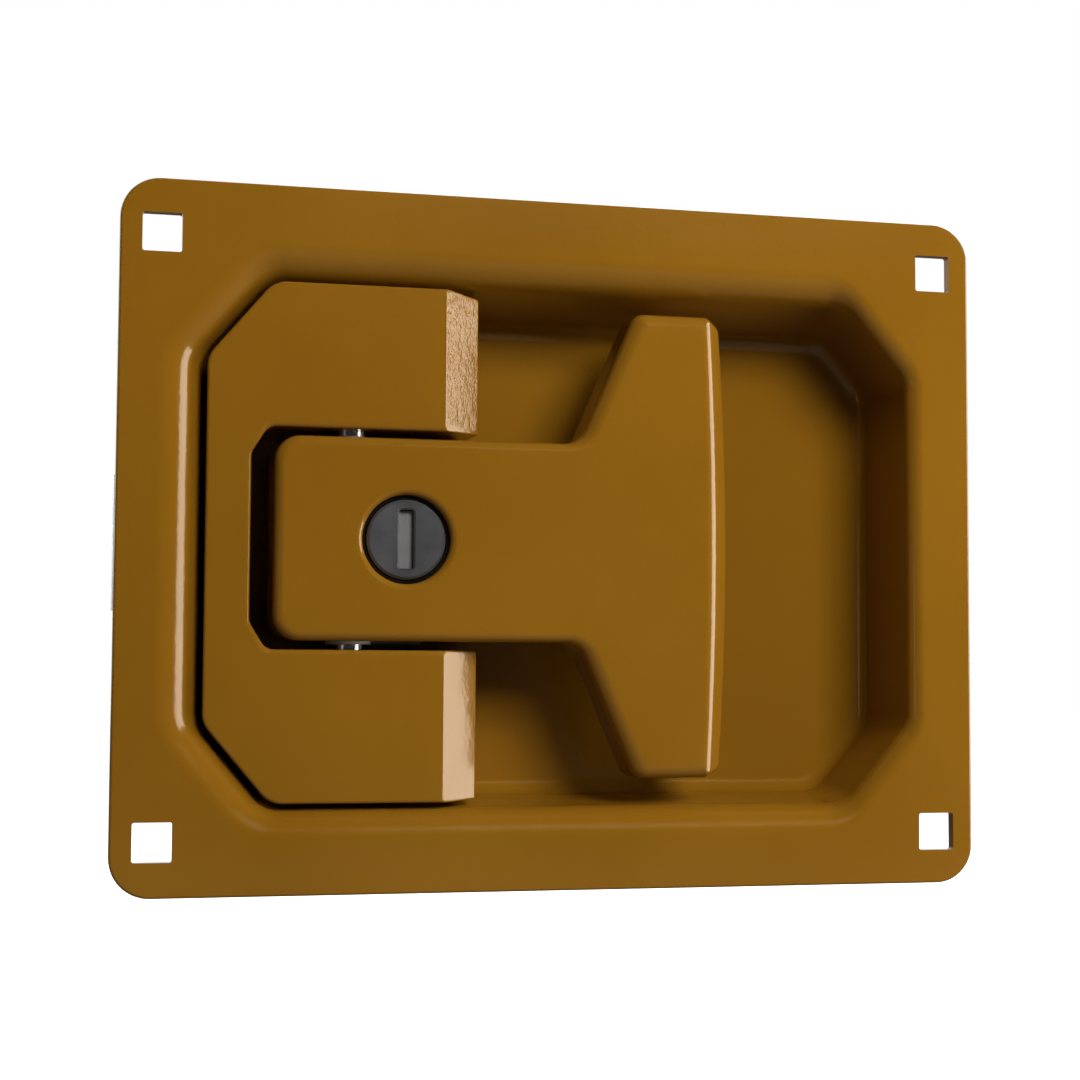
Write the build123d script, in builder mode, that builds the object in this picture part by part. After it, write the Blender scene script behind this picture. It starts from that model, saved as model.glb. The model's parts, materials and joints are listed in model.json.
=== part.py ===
from build123d import *
import math
import os

# Flush lock for the side door of an excavator: a pressed pan let into the door, a T-handle
# with a key cylinder, and a sprung slam bolt that the handle draws behind the pan.
# X runs to the right as seen from outside, Z runs up and Y runs into the machine.
# The origin is the middle of the door's cut-out, on the flange's back face.
# All sizes are in millimetres.

# Pan and flange, pressed from one sheet
flange_width = 153.0
flange_height = 120.0
flange_corner_radius = 6.5
flange_edge_round = 0.5
pan_sheet = 2.0
pan_depth = 21.0
mouth_width = 127.2
mouth_height = 90.8
mouth_cut_x = 12.1
mouth_cut_z = 14.4
mouth_corner_radius = 6.0
mouth_bend_radius = 4.8
floor_bend_radius = 4.5
wall_lean = 3.2

# Square holes for the neck of a carriage bolt
fixing_side = 6.6
fixing_corner_radius = 0.4
fixing_inset_x = 7.0
fixing_inset_z = 9.2

# Cast cover that carries the handle's hinge
cover_sink = 1.4
cover_gap = 1.2
cover_wall = 2.4
cover_end_x = -14.4
cover_bevel_width = 6.3
cover_bevel_depth = 7.0
cover_edge_round = 0.7
cover_skirt_depth = 14.0
cover_foot_margin = 0.3
slot_room = 3.8
slot_cut_x = 2.8
slot_cut_z = 4.6
boss_radius = 4.0
boss_x_left = -46.0
boss_x_right = -25.5
boss_z = 33.5
boss_hole_depth = 12.0

# T-handle, a hollow casting
handle_lift = 0.6
bar_thickness = 9.0
stem_thickness = 11.0
stem_skirt_x = -13.0
handle_wall = 2.8
handle_edge_round = 1.9
handle_roll = 3.9
stem_left_x = -50.2
stem_height = 34.8
stem_corner_radius = 3.0
stem_gap = 1.5
neck_x = 2.9
neck_radius = 2.5
bar_inner_x = 13.0
bar_outer_x = 28.5
bar_height = 81.8
bar_bow = 1.5
bar_corner_radius = 1.6
rib_thickness = 1.8
rib_height = 4.6
rib_spacing = 18.0
rib_count = 4

# Hinge of the handle
pivot_x = -36.4
pivot_depth = 6.2
pin_radius = 2.5
pin_head_radius = 3.9
pin_head_thickness = 1.8
pin_clearance = 0.05
bush_wall = 0.9
bush_flange_radius = 4.6
bush_flange_thickness = 1.1
hub_radius = 5.0
hub_length = 5.0
handle_travel = 35.0

# Key cylinder
lock_x = -27.6
barrel_head_radius = 8.0
barrel_head_thickness = 1.9
barrel_head_sink = 1.7
barrel_radius = 7.2
barrel_length = 14.9
barrel_seat_clearance = 0.05
barrel_mouth_clearance = 0.3
barrel_mouth_round = 0.6
barrel_boss_radius = 10.4
clip_radius = 8.8
clip_thickness = 1.0
clip_groove_depth = 0.7
clip_mouth_angle = 70.0
plug_radius = 6.2
plug_clearance = 0.05
plug_stand_out = 0.4
cap_radius = 6.85
cap_thickness = 1.2
cap_sink = 1.0
cap_edge = 0.45
cap_gap = 0.25
key_slot_width = 2.6
key_slot_height = 10.2
key_way_width = 2.2
key_way_height = 8.6
key_way_depth = 12.0
shutter_room_width = 4.8
shutter_room_height = 10.4
shutter_room_depth = 4.2
shutter_pin_x = -1.45
shutter_pin_depth = 0.85
shutter_pin_radius = 0.4
shutter_thickness = 0.7
shutter_width = 2.9
shutter_height = 9.9
shutter_knuckle_radius = 0.75
wafer_count = 5
wafer_pitch = 1.7
wafer_thickness = 1.0
wafer_width = 5.0
wafer_height = 10.6
wafer_first = 5.2
wafer_fit = 0.1
wafer_shoulder = 0.8
shutter_pin_length = 11.6

# Tongue on the back of the key plug, and its keeper
tongue_thickness = 2.0
tongue_hub_radius = 5.2
tongue_tip_radius = 3.0
tongue_length = 16.3
tail_square = 5.6
tail_fit = 0.05
washer_radius = 4.4
washer_thickness = 0.6
tail_screw_radius = 1.5
tail_screw_head_radius = 3.0
tail_screw_head_height = 1.3
tail_screw_grip = 3.0
keeper_sheet = 1.8
keeper_gap = 3.2
keeper_reach = 6.0
keeper_width = 10.0
keeper_ear_gap = 0.2

# Lever under the stem that reaches through the pan's floor to the bolt
lever_sheet = 2.5
lever_inner_half = 9.2
lever_plate_left_x = -47.2
lever_plate_right_x = -37.8
lever_arm_width = 5.0
lever_arm_length = 21.0
lever_tip_radius = 3.2
lever_shoulder_y = 17.0
lever_slot_margin = 0.8
lever_post_radius = 3.2
lever_post_x = -44.0
lever_post_z = 6.0
lever_screw_radius = 1.5
lever_screw_head_radius = 2.6
lever_screw_head_height = 1.8
lever_screw_grip = 6.0

# Slam bolt behind the pan
bolt_clearance = 0.4
bolt_thickness = 10.0
bolt_half_height = 15.0
bolt_head_half_height = 12.0
bolt_tip_margin = 0.3
bolt_tip_thickness = 3.0
bolt_bevel_length = 11.5
bolt_shoulder_x = -57.8
bolt_right_x = -17.0
bolt_edge_round = 0.8
bolt_back_chamfer = 1.4
bolt_bore_radius = 4.5
bolt_bore_depth = 20.0
bolt_slam_room = 12.5
bolt_window_play = 0.15
bolt_window_side_play = 0.5

# Housing that guides the bolt
housing_sheet = 1.8
housing_left_x = -60.0
housing_right_x = 7.0
housing_flange_reach = 12.3
housing_bend_radius = 1.6
housing_corner_radius = 4.0
housing_head_play = 0.4
housing_window_left = 30.0
housing_window_left_x = -37.0
housing_window_height = 25.0
housing_window_right = 17.0
housing_window_right_x = -6.5
housing_window_small_height = 14.0
housing_window_radius = 3.0
rivet_radius = 2.0
rivet_head_radius = 3.2
rivet_head_height = 1.5
rivet_z = 25.0
rivet_left_x = -52.0
rivet_middle_x = -36.0
rivet_right_x = -21.0

# Spring and its guide
spring_wire = 1.2
spring_radius = 3.35
spring_turns = 9
spring_seat_gap = 0.3
rod_radius = 1.9
rod_reach = 30.0
rod_collar_radius = 4.0
rod_collar_thickness = 1.2
rod_tail = 3.6
nut_flats = 7.0
nut_thickness = 2.4

# Screws
cover_screw_radius = 2.0
cover_screw_head_radius = 3.6
cover_screw_head_height = 2.2
cover_screw_grip = 9.0
thread_clearance = 0.05
hole_clearance = 0.15
recess_radius = 1.1
recess_depth = 1.0

# Depths worked out from the sizes above, measured along Y from the flange's back face
flange_front_y = -pan_sheet
floor_front_y = flange_front_y + pan_depth
floor_back_y = floor_front_y + pan_sheet
cover_face_y = flange_front_y + cover_sink
handle_face_y = flange_front_y - handle_lift
bar_back_y = handle_face_y + bar_thickness
stem_back_y = handle_face_y + stem_thickness
handle_inner_y = handle_face_y + handle_wall
cap_face_y = handle_face_y + cap_sink
plug_front_y = cap_face_y + cap_thickness
barrel_front_y = handle_face_y + barrel_head_sink
barrel_seat_y = barrel_front_y + barrel_head_thickness
barrel_end_y = barrel_front_y + barrel_length
tongue_front_y = barrel_end_y + plug_stand_out
tongue_back_y = tongue_front_y + tongue_thickness
slot_half_height = stem_height / 2 + stem_gap
slot_left_x = stem_left_x - slot_room
lever_outer_half = lever_inner_half + lever_sheet
lever_tip_y = pivot_depth + lever_arm_length
bolt_front_y = floor_back_y + bolt_clearance
bolt_back_y = bolt_front_y + bolt_thickness
bolt_middle_y = bolt_front_y + bolt_thickness / 2
housing_inner_y = bolt_back_y + bolt_clearance
housing_back_y = housing_inner_y + housing_sheet
housing_inner_half = bolt_half_height + bolt_clearance
bolt_tip_x = -flange_width / 2 + bolt_tip_margin
fixing_spacing_x = flange_width - 2 * fixing_inset_x
fixing_spacing_z = flange_height - 2 * fixing_inset_z

os.makedirs("parts", exist_ok=True)


def face_plane(depth):
    """Plane across the door at a depth, with the door's X and Z in it, facing outward."""
    return Plane.XZ.offset(-depth)


def lean(depth):
    """How far the pan's wall has leaned inward at a depth."""
    return wall_lean * (depth - flange_front_y) / pan_depth


def recess_outline(grow):
    """Eight-sided outline of the recess's mouth with rounded corners, grown outward."""
    half_w = mouth_width / 2
    half_h = mouth_height / 2
    upper = [
        (half_w, half_h - mouth_cut_z),
        (half_w - mouth_cut_x, half_h),
        (mouth_cut_x - half_w, half_h),
        (-half_w, half_h - mouth_cut_z),
    ]
    lower = [(-x, -z) for x, z in upper]
    with BuildSketch() as outline:
        with BuildLine():
            Polyline(*upper, *lower, close=True)
        make_face()
        if grow != 0:
            offset(amount=grow, kind=Kind.INTERSECTION)
        fillet(outline.vertices(), mouth_corner_radius)
    return outline.sketch


def slot_outline(grow):
    """Outline of the cover's slot round the stem, open to the right, grown outward."""
    half = slot_half_height + grow
    left = slot_left_x - grow
    with BuildSketch() as outline:
        with BuildLine():
            Polyline(
                (0, half),
                (left + slot_cut_x, half),
                (left, half - slot_cut_z),
                (left, slot_cut_z - half),
                (left + slot_cut_x, -half),
                (0, -half),
                close=True,
            )
        make_face()
    return outline.sketch


def handle_outline(grow):
    """T-shaped outline of the handle, moved outward by a distance."""
    with BuildSketch() as outline:
        with BuildLine():
            Polyline(
                (bar_outer_x, bar_height / 2),
                (bar_inner_x, bar_height / 2),
                (neck_x, stem_height / 2),
                (stem_left_x, stem_height / 2),
                (stem_left_x, -stem_height / 2),
                (neck_x, -stem_height / 2),
                (bar_inner_x, -bar_height / 2),
                (bar_outer_x, -bar_height / 2),
            )
            ThreePointArc(
                (bar_outer_x, -bar_height / 2),
                (bar_outer_x + bar_bow, 0),
                (bar_outer_x, bar_height / 2),
            )
        make_face()
        if grow != 0:
            offset(amount=grow, kind=Kind.INTERSECTION)
    return outline.sketch


def screw(x, z, under_head_y, towards, shank_radius, length, head_radius, head_height):
    """Round-headed cross-recess screw along Y; towards is +1 where its head faces +Y."""
    axis_plane = Plane(origin=(x, under_head_y, z), x_dir=(1, 0, 0), z_dir=(0, towards, 0))
    with BuildPart() as one:
        with BuildSketch(axis_plane):
            Circle(head_radius)
        extrude(amount=head_height)
        rim = one.faces().sort_by(axis_plane_axis(axis_plane))[-1].edges()
        fillet(rim, head_height * 0.45)
        with BuildSketch(axis_plane):
            Circle(shank_radius)
        extrude(amount=-length)
        with BuildSketch(axis_plane.offset(head_height)):
            Rectangle(2 * recess_radius, recess_radius / 2)
            Rectangle(recess_radius / 2, 2 * recess_radius)
        extrude(amount=-recess_depth, mode=Mode.SUBTRACT)
    return one.part


def axis_plane_axis(plane):
    """The axis that stands on a plane."""
    return Axis(plane.origin, plane.z_dir)


def bevel_corners(inset):
    """Corners, in X and Y, of the space cleared right of the cover's bevelled end."""
    run = math.hypot(cover_bevel_width, cover_bevel_depth)
    along_x = inset * run / cover_bevel_depth
    end = cover_end_x - inset
    top = cover_end_x - cover_bevel_width - along_x
    slope = cover_bevel_depth / cover_bevel_width
    front = cover_face_y
    meet_y = front + (end - top) * slope
    far_x = flange_width / 2
    return [
        (top, front),
        (top - 1 / slope, front - 1),
        (far_x, front - 1),
        (far_x, floor_front_y + 1),
        (end, floor_front_y + 1),
        (end, meet_y),
    ]


cover_screw_places = [(x, z) for x in (boss_x_left, boss_x_right) for z in (boss_z, -boss_z)]
rivet_places = [(x, z) for x in (rivet_left_x, rivet_middle_x, rivet_right_x) for z in (rivet_z, -rivet_z)]
lever_post_places = [(lever_post_x, z) for z in (lever_post_z, -lever_post_z)]
cover_foot_inset = -(wall_lean + floor_bend_radius + cover_foot_margin)

# Pan: flange, leaning walls and floor of one pressed sheet
with BuildPart() as recess:
    with BuildSketch(face_plane(flange_front_y)):
        add(recess_outline(0))
    with BuildSketch(face_plane(floor_front_y)):
        add(recess_outline(-lean(floor_front_y)))
    loft(ruled=True)
    fillet(recess.faces().sort_by(Axis.Y)[-1].edges(), floor_bend_radius)

with BuildPart() as pan:
    with BuildSketch(face_plane(flange_front_y)):
        add(recess_outline(pan_sheet))
    with BuildSketch(face_plane(floor_back_y)):
        add(recess_outline(pan_sheet - lean(floor_back_y)))
    loft(ruled=True)
    fillet(pan.faces().sort_by(Axis.Y)[-1].edges(), floor_bend_radius + pan_sheet)
    with BuildSketch(face_plane(0)):
        RectangleRounded(flange_width, flange_height, flange_corner_radius)
    extrude(amount=pan_sheet)
    back_bend = pan.faces().filter_by(Plane.XZ).sort_by(Axis.Y)[1].inner_wires()[0].edges()
    fillet(back_bend, mouth_bend_radius - pan_sheet)
    add(recess.part, mode=Mode.SUBTRACT)
    front = pan.faces().filter_by(Plane.XZ).sort_by(Axis.Y)[0]
    fillet(front.inner_wires()[0].edges(), mouth_bend_radius)
    front = pan.faces().filter_by(Plane.XZ).sort_by(Axis.Y)[0]
    fillet(front.outer_wire().edges(), flange_edge_round)
    with BuildSketch(face_plane(0)):
        with GridLocations(fixing_spacing_x, fixing_spacing_z, 2, 2):
            RectangleRounded(fixing_side, fixing_side, fixing_corner_radius)
    extrude(amount=pan_sheet, mode=Mode.SUBTRACT)


    # Slots in the floor for the lever's two arms
    slot_reach = (floor_back_y - pivot_depth) * math.tan(math.radians(handle_travel))
    arm_half = lever_arm_width / 2
    slot_left = pivot_x - arm_half - lever_slot_margin
    slot_right = pivot_x + slot_reach + arm_half / math.cos(math.radians(handle_travel)) + lever_slot_margin
    slot_width = lever_sheet + 2 * lever_slot_margin
    slot_z = lever_inner_half + lever_sheet / 2
    with BuildSketch(face_plane(floor_back_y)):
        with Locations(((slot_left + slot_right) / 2, slot_z), ((slot_left + slot_right) / 2, -slot_z)):
            RectangleRounded(slot_right - slot_left, slot_width, slot_width * 0.3)
    extrude(amount=pan_sheet, mode=Mode.SUBTRACT)
    # Holes for the cover's screws and the housing's rivets
    with BuildSketch(face_plane(floor_back_y)):
        with Locations(*cover_screw_places):
            Circle(cover_screw_radius + hole_clearance)
        with Locations(*rivet_places):
            Circle(rivet_radius + hole_clearance)
    extrude(amount=pan_sheet, mode=Mode.SUBTRACT)

# Cover: a C-shaped casting with a bevelled right end, hollow behind, and ears along its slot
with BuildPart() as cover_hollow:
    with BuildSketch(face_plane(cover_face_y + cover_wall)):
        add(recess_outline(-cover_gap - cover_wall - lean(cover_face_y + cover_wall)))
    with BuildSketch(face_plane(floor_front_y)):
        add(recess_outline(-cover_gap - cover_wall - lean(floor_front_y)))
    loft(ruled=True)
    with BuildSketch(Plane.XY):
        with BuildLine():
            Polyline(*bevel_corners(cover_wall), close=True)
        make_face()
    extrude(amount=flange_height / 2, both=True, mode=Mode.SUBTRACT)
    with BuildSketch(face_plane(floor_front_y)):
        add(slot_outline(cover_wall))
    extrude(amount=pan_depth, mode=Mode.SUBTRACT)

with BuildPart() as hinge_cover:
    with BuildSketch(face_plane(cover_face_y)):
        add(recess_outline(-cover_gap - lean(cover_face_y)))
    with BuildSketch(face_plane(floor_front_y)):
        add(recess_outline(-cover_gap - lean(floor_front_y)))
    loft(ruled=True)
    with BuildSketch(Plane.XY):
        with BuildLine():
            Polyline(*bevel_corners(0), close=True)
        make_face()
    extrude(amount=flange_height / 2, both=True, mode=Mode.SUBTRACT)
    with BuildSketch(face_plane(floor_front_y)):
        add(slot_outline(0))
    extrude(amount=pan_depth, mode=Mode.SUBTRACT)
    front = hinge_cover.faces().filter_by(Plane.XZ).sort_by(Axis.Y)[0]
    fillet(front.edges(), cover_edge_round)
    add(cover_hollow.part, mode=Mode.SUBTRACT)
    # The outer skirt ends above the bend of the pan's floor
    with BuildSketch(face_plane(floor_front_y)):
        Rectangle(flange_width, flange_height)
        add(recess_outline(cover_foot_inset), mode=Mode.SUBTRACT)
    extrude(amount=floor_front_y - cover_face_y - cover_skirt_depth, mode=Mode.SUBTRACT)
    # Screw bosses down to the floor
    with BuildSketch(face_plane(floor_front_y)):
        with Locations(*cover_screw_places):
            Circle(boss_radius)
    extrude(amount=floor_front_y - cover_face_y - cover_wall / 2)
    with BuildSketch(face_plane(floor_front_y)):
        with Locations(*cover_screw_places):
            Circle(cover_screw_radius + thread_clearance)
    extrude(amount=boss_hole_depth, mode=Mode.SUBTRACT)
    with Locations(Location((pivot_x, pivot_depth, 0))):
        Cylinder(pin_radius + thread_clearance, 2 * (slot_half_height + 2 * cover_wall), mode=Mode.SUBTRACT)

# T-handle: hollow casting with a roll along the grip, hinge hubs and a boss for the cylinder
with BuildPart() as handle_hollow:
    with BuildSketch(face_plane(stem_back_y)):
        add(handle_outline(-handle_wall))
    extrude(amount=stem_back_y - handle_inner_y)
    with BuildSketch(face_plane(handle_inner_y)):
        with Locations(((bar_inner_x + bar_outer_x) / 2, 0)):
            with GridLocations(bar_height, rib_spacing, 1, rib_count):
                Rectangle(bar_outer_x - neck_x, rib_thickness)
    extrude(amount=-rib_height, mode=Mode.SUBTRACT)

with BuildPart() as handle_shell:
    with BuildSketch(face_plane(bar_back_y)):
        add(handle_outline(0))
    extrude(amount=bar_thickness)
    grip = handle_shell.faces().filter_by(GeomType.CYLINDER).sort_by(Axis.X)[-1]
    fillet(grip.edges().filter_by(GeomType.CIRCLE).sort_by(Axis.Y)[0], handle_roll)
    with BuildSketch(face_plane(bar_back_y)):
        with Locations((stem_left_x, 0)):
            Rectangle(stem_skirt_x - stem_left_x, stem_height, align=(Align.MIN, Align.CENTER))
    extrude(amount=bar_back_y - stem_back_y)
    upright = handle_shell.edges().filter_by(Axis.Y)
    fillet(upright.group_by(Axis.X)[0], stem_corner_radius)
    upright = handle_shell.edges().filter_by(Axis.Y)
    fillet(upright.filter_by_position(Axis.X, neck_x - neck_radius, neck_x + neck_radius), neck_radius)
    front = handle_shell.faces().filter_by(Plane.XZ).sort_by(Axis.Y)[0]
    roll_start_x = bar_outer_x - handle_roll
    fillet(front.edges().filter_by(lambda edge: edge.center().X < roll_start_x), handle_edge_round)
    add(handle_hollow.part, mode=Mode.SUBTRACT)
    # Boss round the key cylinder and posts for the lever's screws
    with BuildSketch(face_plane(stem_back_y)):
        with Locations((lock_x, 0)):
            Circle(barrel_boss_radius)
        with Locations(*lever_post_places):
            Circle(lever_post_radius)
    extrude(amount=stem_back_y - handle_inner_y + handle_wall / 2)
    with BuildSketch(face_plane(stem_back_y)):
        with Locations(*lever_post_places):
            Circle(lever_screw_radius + thread_clearance)
    extrude(amount=lever_screw_grip, mode=Mode.SUBTRACT)
    with BuildSketch(face_plane(stem_back_y)):
        with Locations((lock_x, 0)):
            Circle(barrel_radius + barrel_seat_clearance)
    extrude(amount=stem_thickness, mode=Mode.SUBTRACT)
    with BuildSketch(face_plane(barrel_seat_y)):
        with Locations((lock_x, 0)):
            Circle(barrel_head_radius + barrel_mouth_clearance)
    extrude(amount=barrel_seat_y - handle_face_y, mode=Mode.SUBTRACT)
    front = handle_shell.faces().filter_by(Plane.XZ).sort_by(Axis.Y)[0]
    fillet(front.inner_wires().edges(), barrel_mouth_round)
    # Hubs on the hinge's axis, inside the stem's two side walls
    for side in (1, -1):
        with BuildSketch(Plane.XY.offset(side * (stem_height / 2 - handle_wall / 2))):
            with Locations((pivot_x, pivot_depth)):
                Circle(hub_radius)
            with Locations((pivot_x, handle_inner_y)):
                Rectangle(2 * hub_radius, pivot_depth - handle_inner_y, align=(Align.CENTER, Align.MIN))
        extrude(amount=-side * (hub_length - handle_wall / 2))
    with Locations(Location((pivot_x, pivot_depth, 0))):
        Cylinder(pin_radius + pin_clearance + bush_wall + thread_clearance, stem_height, mode=Mode.SUBTRACT)

# Two headed stub pins on the hinge's axis, pressed through the cover's ears
pin_tip_z = stem_height / 2 - hub_length
pin_head_z = slot_half_height + cover_wall
with BuildPart() as hinge_pins:
    for side in (1, -1):
        with BuildSketch(Plane.XY.offset(side * pin_tip_z)):
            with Locations((pivot_x, pivot_depth)):
                Circle(pin_radius)
        extrude(amount=side * (pin_head_z - pin_tip_z))
        with BuildSketch(Plane.XY.offset(side * pin_head_z)):
            with Locations((pivot_x, pivot_depth)):
                Circle(pin_head_radius)
        extrude(amount=side * pin_head_thickness)
    chamfer(hinge_pins.edges().group_by(Axis.Z)[0], pin_head_thickness * 0.25)
    chamfer(hinge_pins.edges().group_by(Axis.Z)[-1], pin_head_thickness * 0.25)

# Flanged nylon bushes in the handle's hubs
with BuildPart() as pivot_bushes:
    for side in (1, -1):
        with BuildSketch(Plane.XY.offset(side * pin_tip_z)):
            with Locations((pivot_x, pivot_depth)):
                Circle(pin_radius + pin_clearance + bush_wall)
        extrude(amount=side * hub_length)
        with BuildSketch(Plane.XY.offset(side * stem_height / 2)):
            with Locations((pivot_x, pivot_depth)):
                Circle(bush_flange_radius)
        extrude(amount=side * bush_flange_thickness)
    with Locations(Location((pivot_x, pivot_depth, 0))):
        Cylinder(pin_radius + pin_clearance, stem_height + 4 * bush_flange_thickness, mode=Mode.SUBTRACT)

# Barrel of the key cylinder, turned, with a groove for its clip
with BuildPart() as lock_barrel:
    with BuildSketch(Plane.XY):
        with BuildLine():
            Polyline(
                (lock_x + plug_radius + plug_clearance, plug_front_y + cap_gap),
                (lock_x + cap_radius + cap_gap, plug_front_y + cap_gap),
                (lock_x + cap_radius + cap_gap, barrel_front_y),
                (lock_x + barrel_head_radius, barrel_front_y),
                (lock_x + barrel_head_radius, barrel_seat_y),
                (lock_x + barrel_radius, barrel_seat_y),
                (lock_x + barrel_radius, stem_back_y),
                (lock_x + barrel_radius - clip_groove_depth, stem_back_y),
                (lock_x + barrel_radius - clip_groove_depth, stem_back_y + clip_thickness),
                (lock_x + barrel_radius, stem_back_y + clip_thickness),
                (lock_x + barrel_radius, barrel_end_y),
                (lock_x + plug_radius + plug_clearance, barrel_end_y),
                close=True,
            )
        make_face()
    revolve(axis=Axis((lock_x, 0, 0), (0, 1, 0)))
    chamfer(lock_barrel.edges().group_by(Axis.Y)[0].sort_by(SortBy.RADIUS)[-1], plug_clearance * 6)

# Open spring ring that holds the barrel in the handle
with BuildPart() as barrel_clip:
    with BuildSketch(face_plane(stem_back_y)):
        with Locations((lock_x, 0)):
            Circle(clip_radius)
            Circle(barrel_radius - clip_groove_depth, mode=Mode.SUBTRACT)
        mouth_half = clip_radius * math.tan(math.radians(clip_mouth_angle / 2))
        with BuildLine():
            Polyline(
                (lock_x, 0),
                (lock_x + clip_radius, mouth_half),
                (lock_x + 2 * clip_radius, mouth_half),
                (lock_x + 2 * clip_radius, -mouth_half),
                (lock_x + clip_radius, -mouth_half),
                close=True,
            )
        make_face(mode=Mode.SUBTRACT)
    extrude(amount=-clip_thickness)
    fillet(barrel_clip.edges().filter_by(Axis.Y), clip_groove_depth * 0.6)

# Key plug with its keyway, shutter room, wafer slots and a square tail
wafer_depths = [wafer_first + plug_front_y + number * wafer_pitch for number in range(wafer_count)]
with BuildPart() as key_plug:
    with BuildSketch(face_plane(plug_front_y)):
        with Locations((lock_x, 0)):
            Circle(plug_radius)
    extrude(amount=-(tongue_front_y - plug_front_y))
    with BuildSketch(face_plane(tongue_front_y)):
        with Locations((lock_x, 0)):
            Rectangle(tail_square, tail_square)
    extrude(amount=-tongue_thickness)
    fillet(key_plug.edges().filter_by(Axis.Y).filter_by_position(Axis.Y, tongue_front_y, tongue_back_y), tail_fit * 8)
    with BuildSketch(face_plane(plug_front_y)):
        with Locations((lock_x, 0)):
            Rectangle(shutter_room_width, shutter_room_height)
    extrude(amount=-shutter_room_depth, mode=Mode.SUBTRACT)
    with BuildSketch(face_plane(plug_front_y)):
        with Locations((lock_x, 0)):
            Rectangle(key_way_width, key_way_height)
    extrude(amount=-key_way_depth, mode=Mode.SUBTRACT)
    for depth in wafer_depths:
        with BuildSketch(face_plane(depth)):
            with Locations((lock_x, 0)):
                Rectangle(wafer_width + 2 * wafer_fit, wafer_height + 2 * wafer_fit)
        extrude(amount=-(wafer_thickness + wafer_fit), mode=Mode.SUBTRACT)
    with Locations(Location((lock_x + shutter_pin_x, plug_front_y + shutter_pin_depth, 0))):
        Cylinder(shutter_pin_radius, shutter_pin_length, mode=Mode.SUBTRACT)
    with BuildSketch(face_plane(tongue_back_y)):
        with Locations((lock_x, 0)):
            Circle(tail_screw_radius + thread_clearance)
    extrude(amount=tail_screw_grip, mode=Mode.SUBTRACT)

# Steel cap on the plug's face, with the chamfered key slot
with BuildPart() as plug_cap:
    with BuildSketch(face_plane(plug_front_y)):
        with Locations((lock_x, 0)):
            Circle(cap_radius)
    extrude(amount=cap_thickness)
    chamfer(plug_cap.edges().group_by(Axis.Y)[0], cap_edge)
    with BuildSketch(face_plane(plug_front_y)):
        with Locations((lock_x, 0)):
            RectangleRounded(key_slot_width, key_slot_height, key_slot_width * 0.2)
    extrude(amount=cap_thickness, mode=Mode.SUBTRACT)
    front = plug_cap.faces().filter_by(Plane.XZ).sort_by(Axis.Y)[0]
    chamfer(front.inner_wires()[0].edges(), cap_edge * 0.6)

# Wafers across the plug, each a frame round the keyway
with BuildPart() as wafer_tumblers:
    for number, depth in enumerate(wafer_depths):
        with BuildSketch(face_plane(depth + wafer_fit / 2)):
            with Locations((lock_x, 0)):
                Rectangle(wafer_width, wafer_height)
            with Locations((lock_x, wafer_shoulder * (number % 2) / 2)):
                Rectangle(key_way_width + wafer_shoulder, key_way_height - wafer_shoulder, mode=Mode.SUBTRACT)
        extrude(amount=-wafer_thickness)

# Dust shutter behind the key slot, on its own pin
shutter_axis_x = lock_x + shutter_pin_x
shutter_axis_y = plug_front_y + shutter_pin_depth
with BuildPart() as key_shutter:
    with BuildSketch(Plane.XY.offset(-shutter_height / 2)):
        with Locations((shutter_axis_x, shutter_axis_y)):
            Circle(shutter_knuckle_radius)
        with Locations((shutter_axis_x, shutter_axis_y - shutter_knuckle_radius)):
            Rectangle(shutter_width, shutter_thickness, align=(Align.MIN, Align.MIN))
        with Locations((shutter_axis_x, shutter_axis_y)):
            Circle(shutter_pin_radius + pin_clearance, mode=Mode.SUBTRACT)
    extrude(amount=shutter_height)

with BuildPart() as shutter_pin:
    with Locations(Location((shutter_axis_x, shutter_axis_y, 0))):
        Cylinder(shutter_pin_radius, shutter_pin_length)

# Tongue that turns with the plug, from free to under the keeper
with BuildPart() as lock_tongue:
    with BuildSketch(face_plane(tongue_front_y)):
        with BuildLine():
            hub = CenterArc((lock_x, 0), tongue_hub_radius, 90, 180)
            tip_x = lock_x + tongue_length - tongue_tip_radius
            tip = CenterArc((tip_x, 0), tongue_tip_radius, -90, 180)
            Line(hub @ 0, tip @ 1)
            Line(hub @ 1, tip @ 0)
        make_face()
        with Locations((lock_x, 0)):
            Rectangle(tail_square + 2 * tail_fit, tail_square + 2 * tail_fit, mode=Mode.SUBTRACT)
    extrude(amount=-tongue_thickness)

with BuildPart() as tongue_washer:
    with BuildSketch(face_plane(tongue_back_y)):
        with Locations((lock_x, 0)):
            Circle(washer_radius)
            Circle(tail_screw_radius + hole_clearance, mode=Mode.SUBTRACT)
    extrude(amount=-washer_thickness)

tongue_screw = screw(
    lock_x, 0, tongue_back_y + washer_thickness, 1, tail_screw_radius,
    tail_screw_grip, tail_screw_head_radius, tail_screw_head_height,
)

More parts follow.
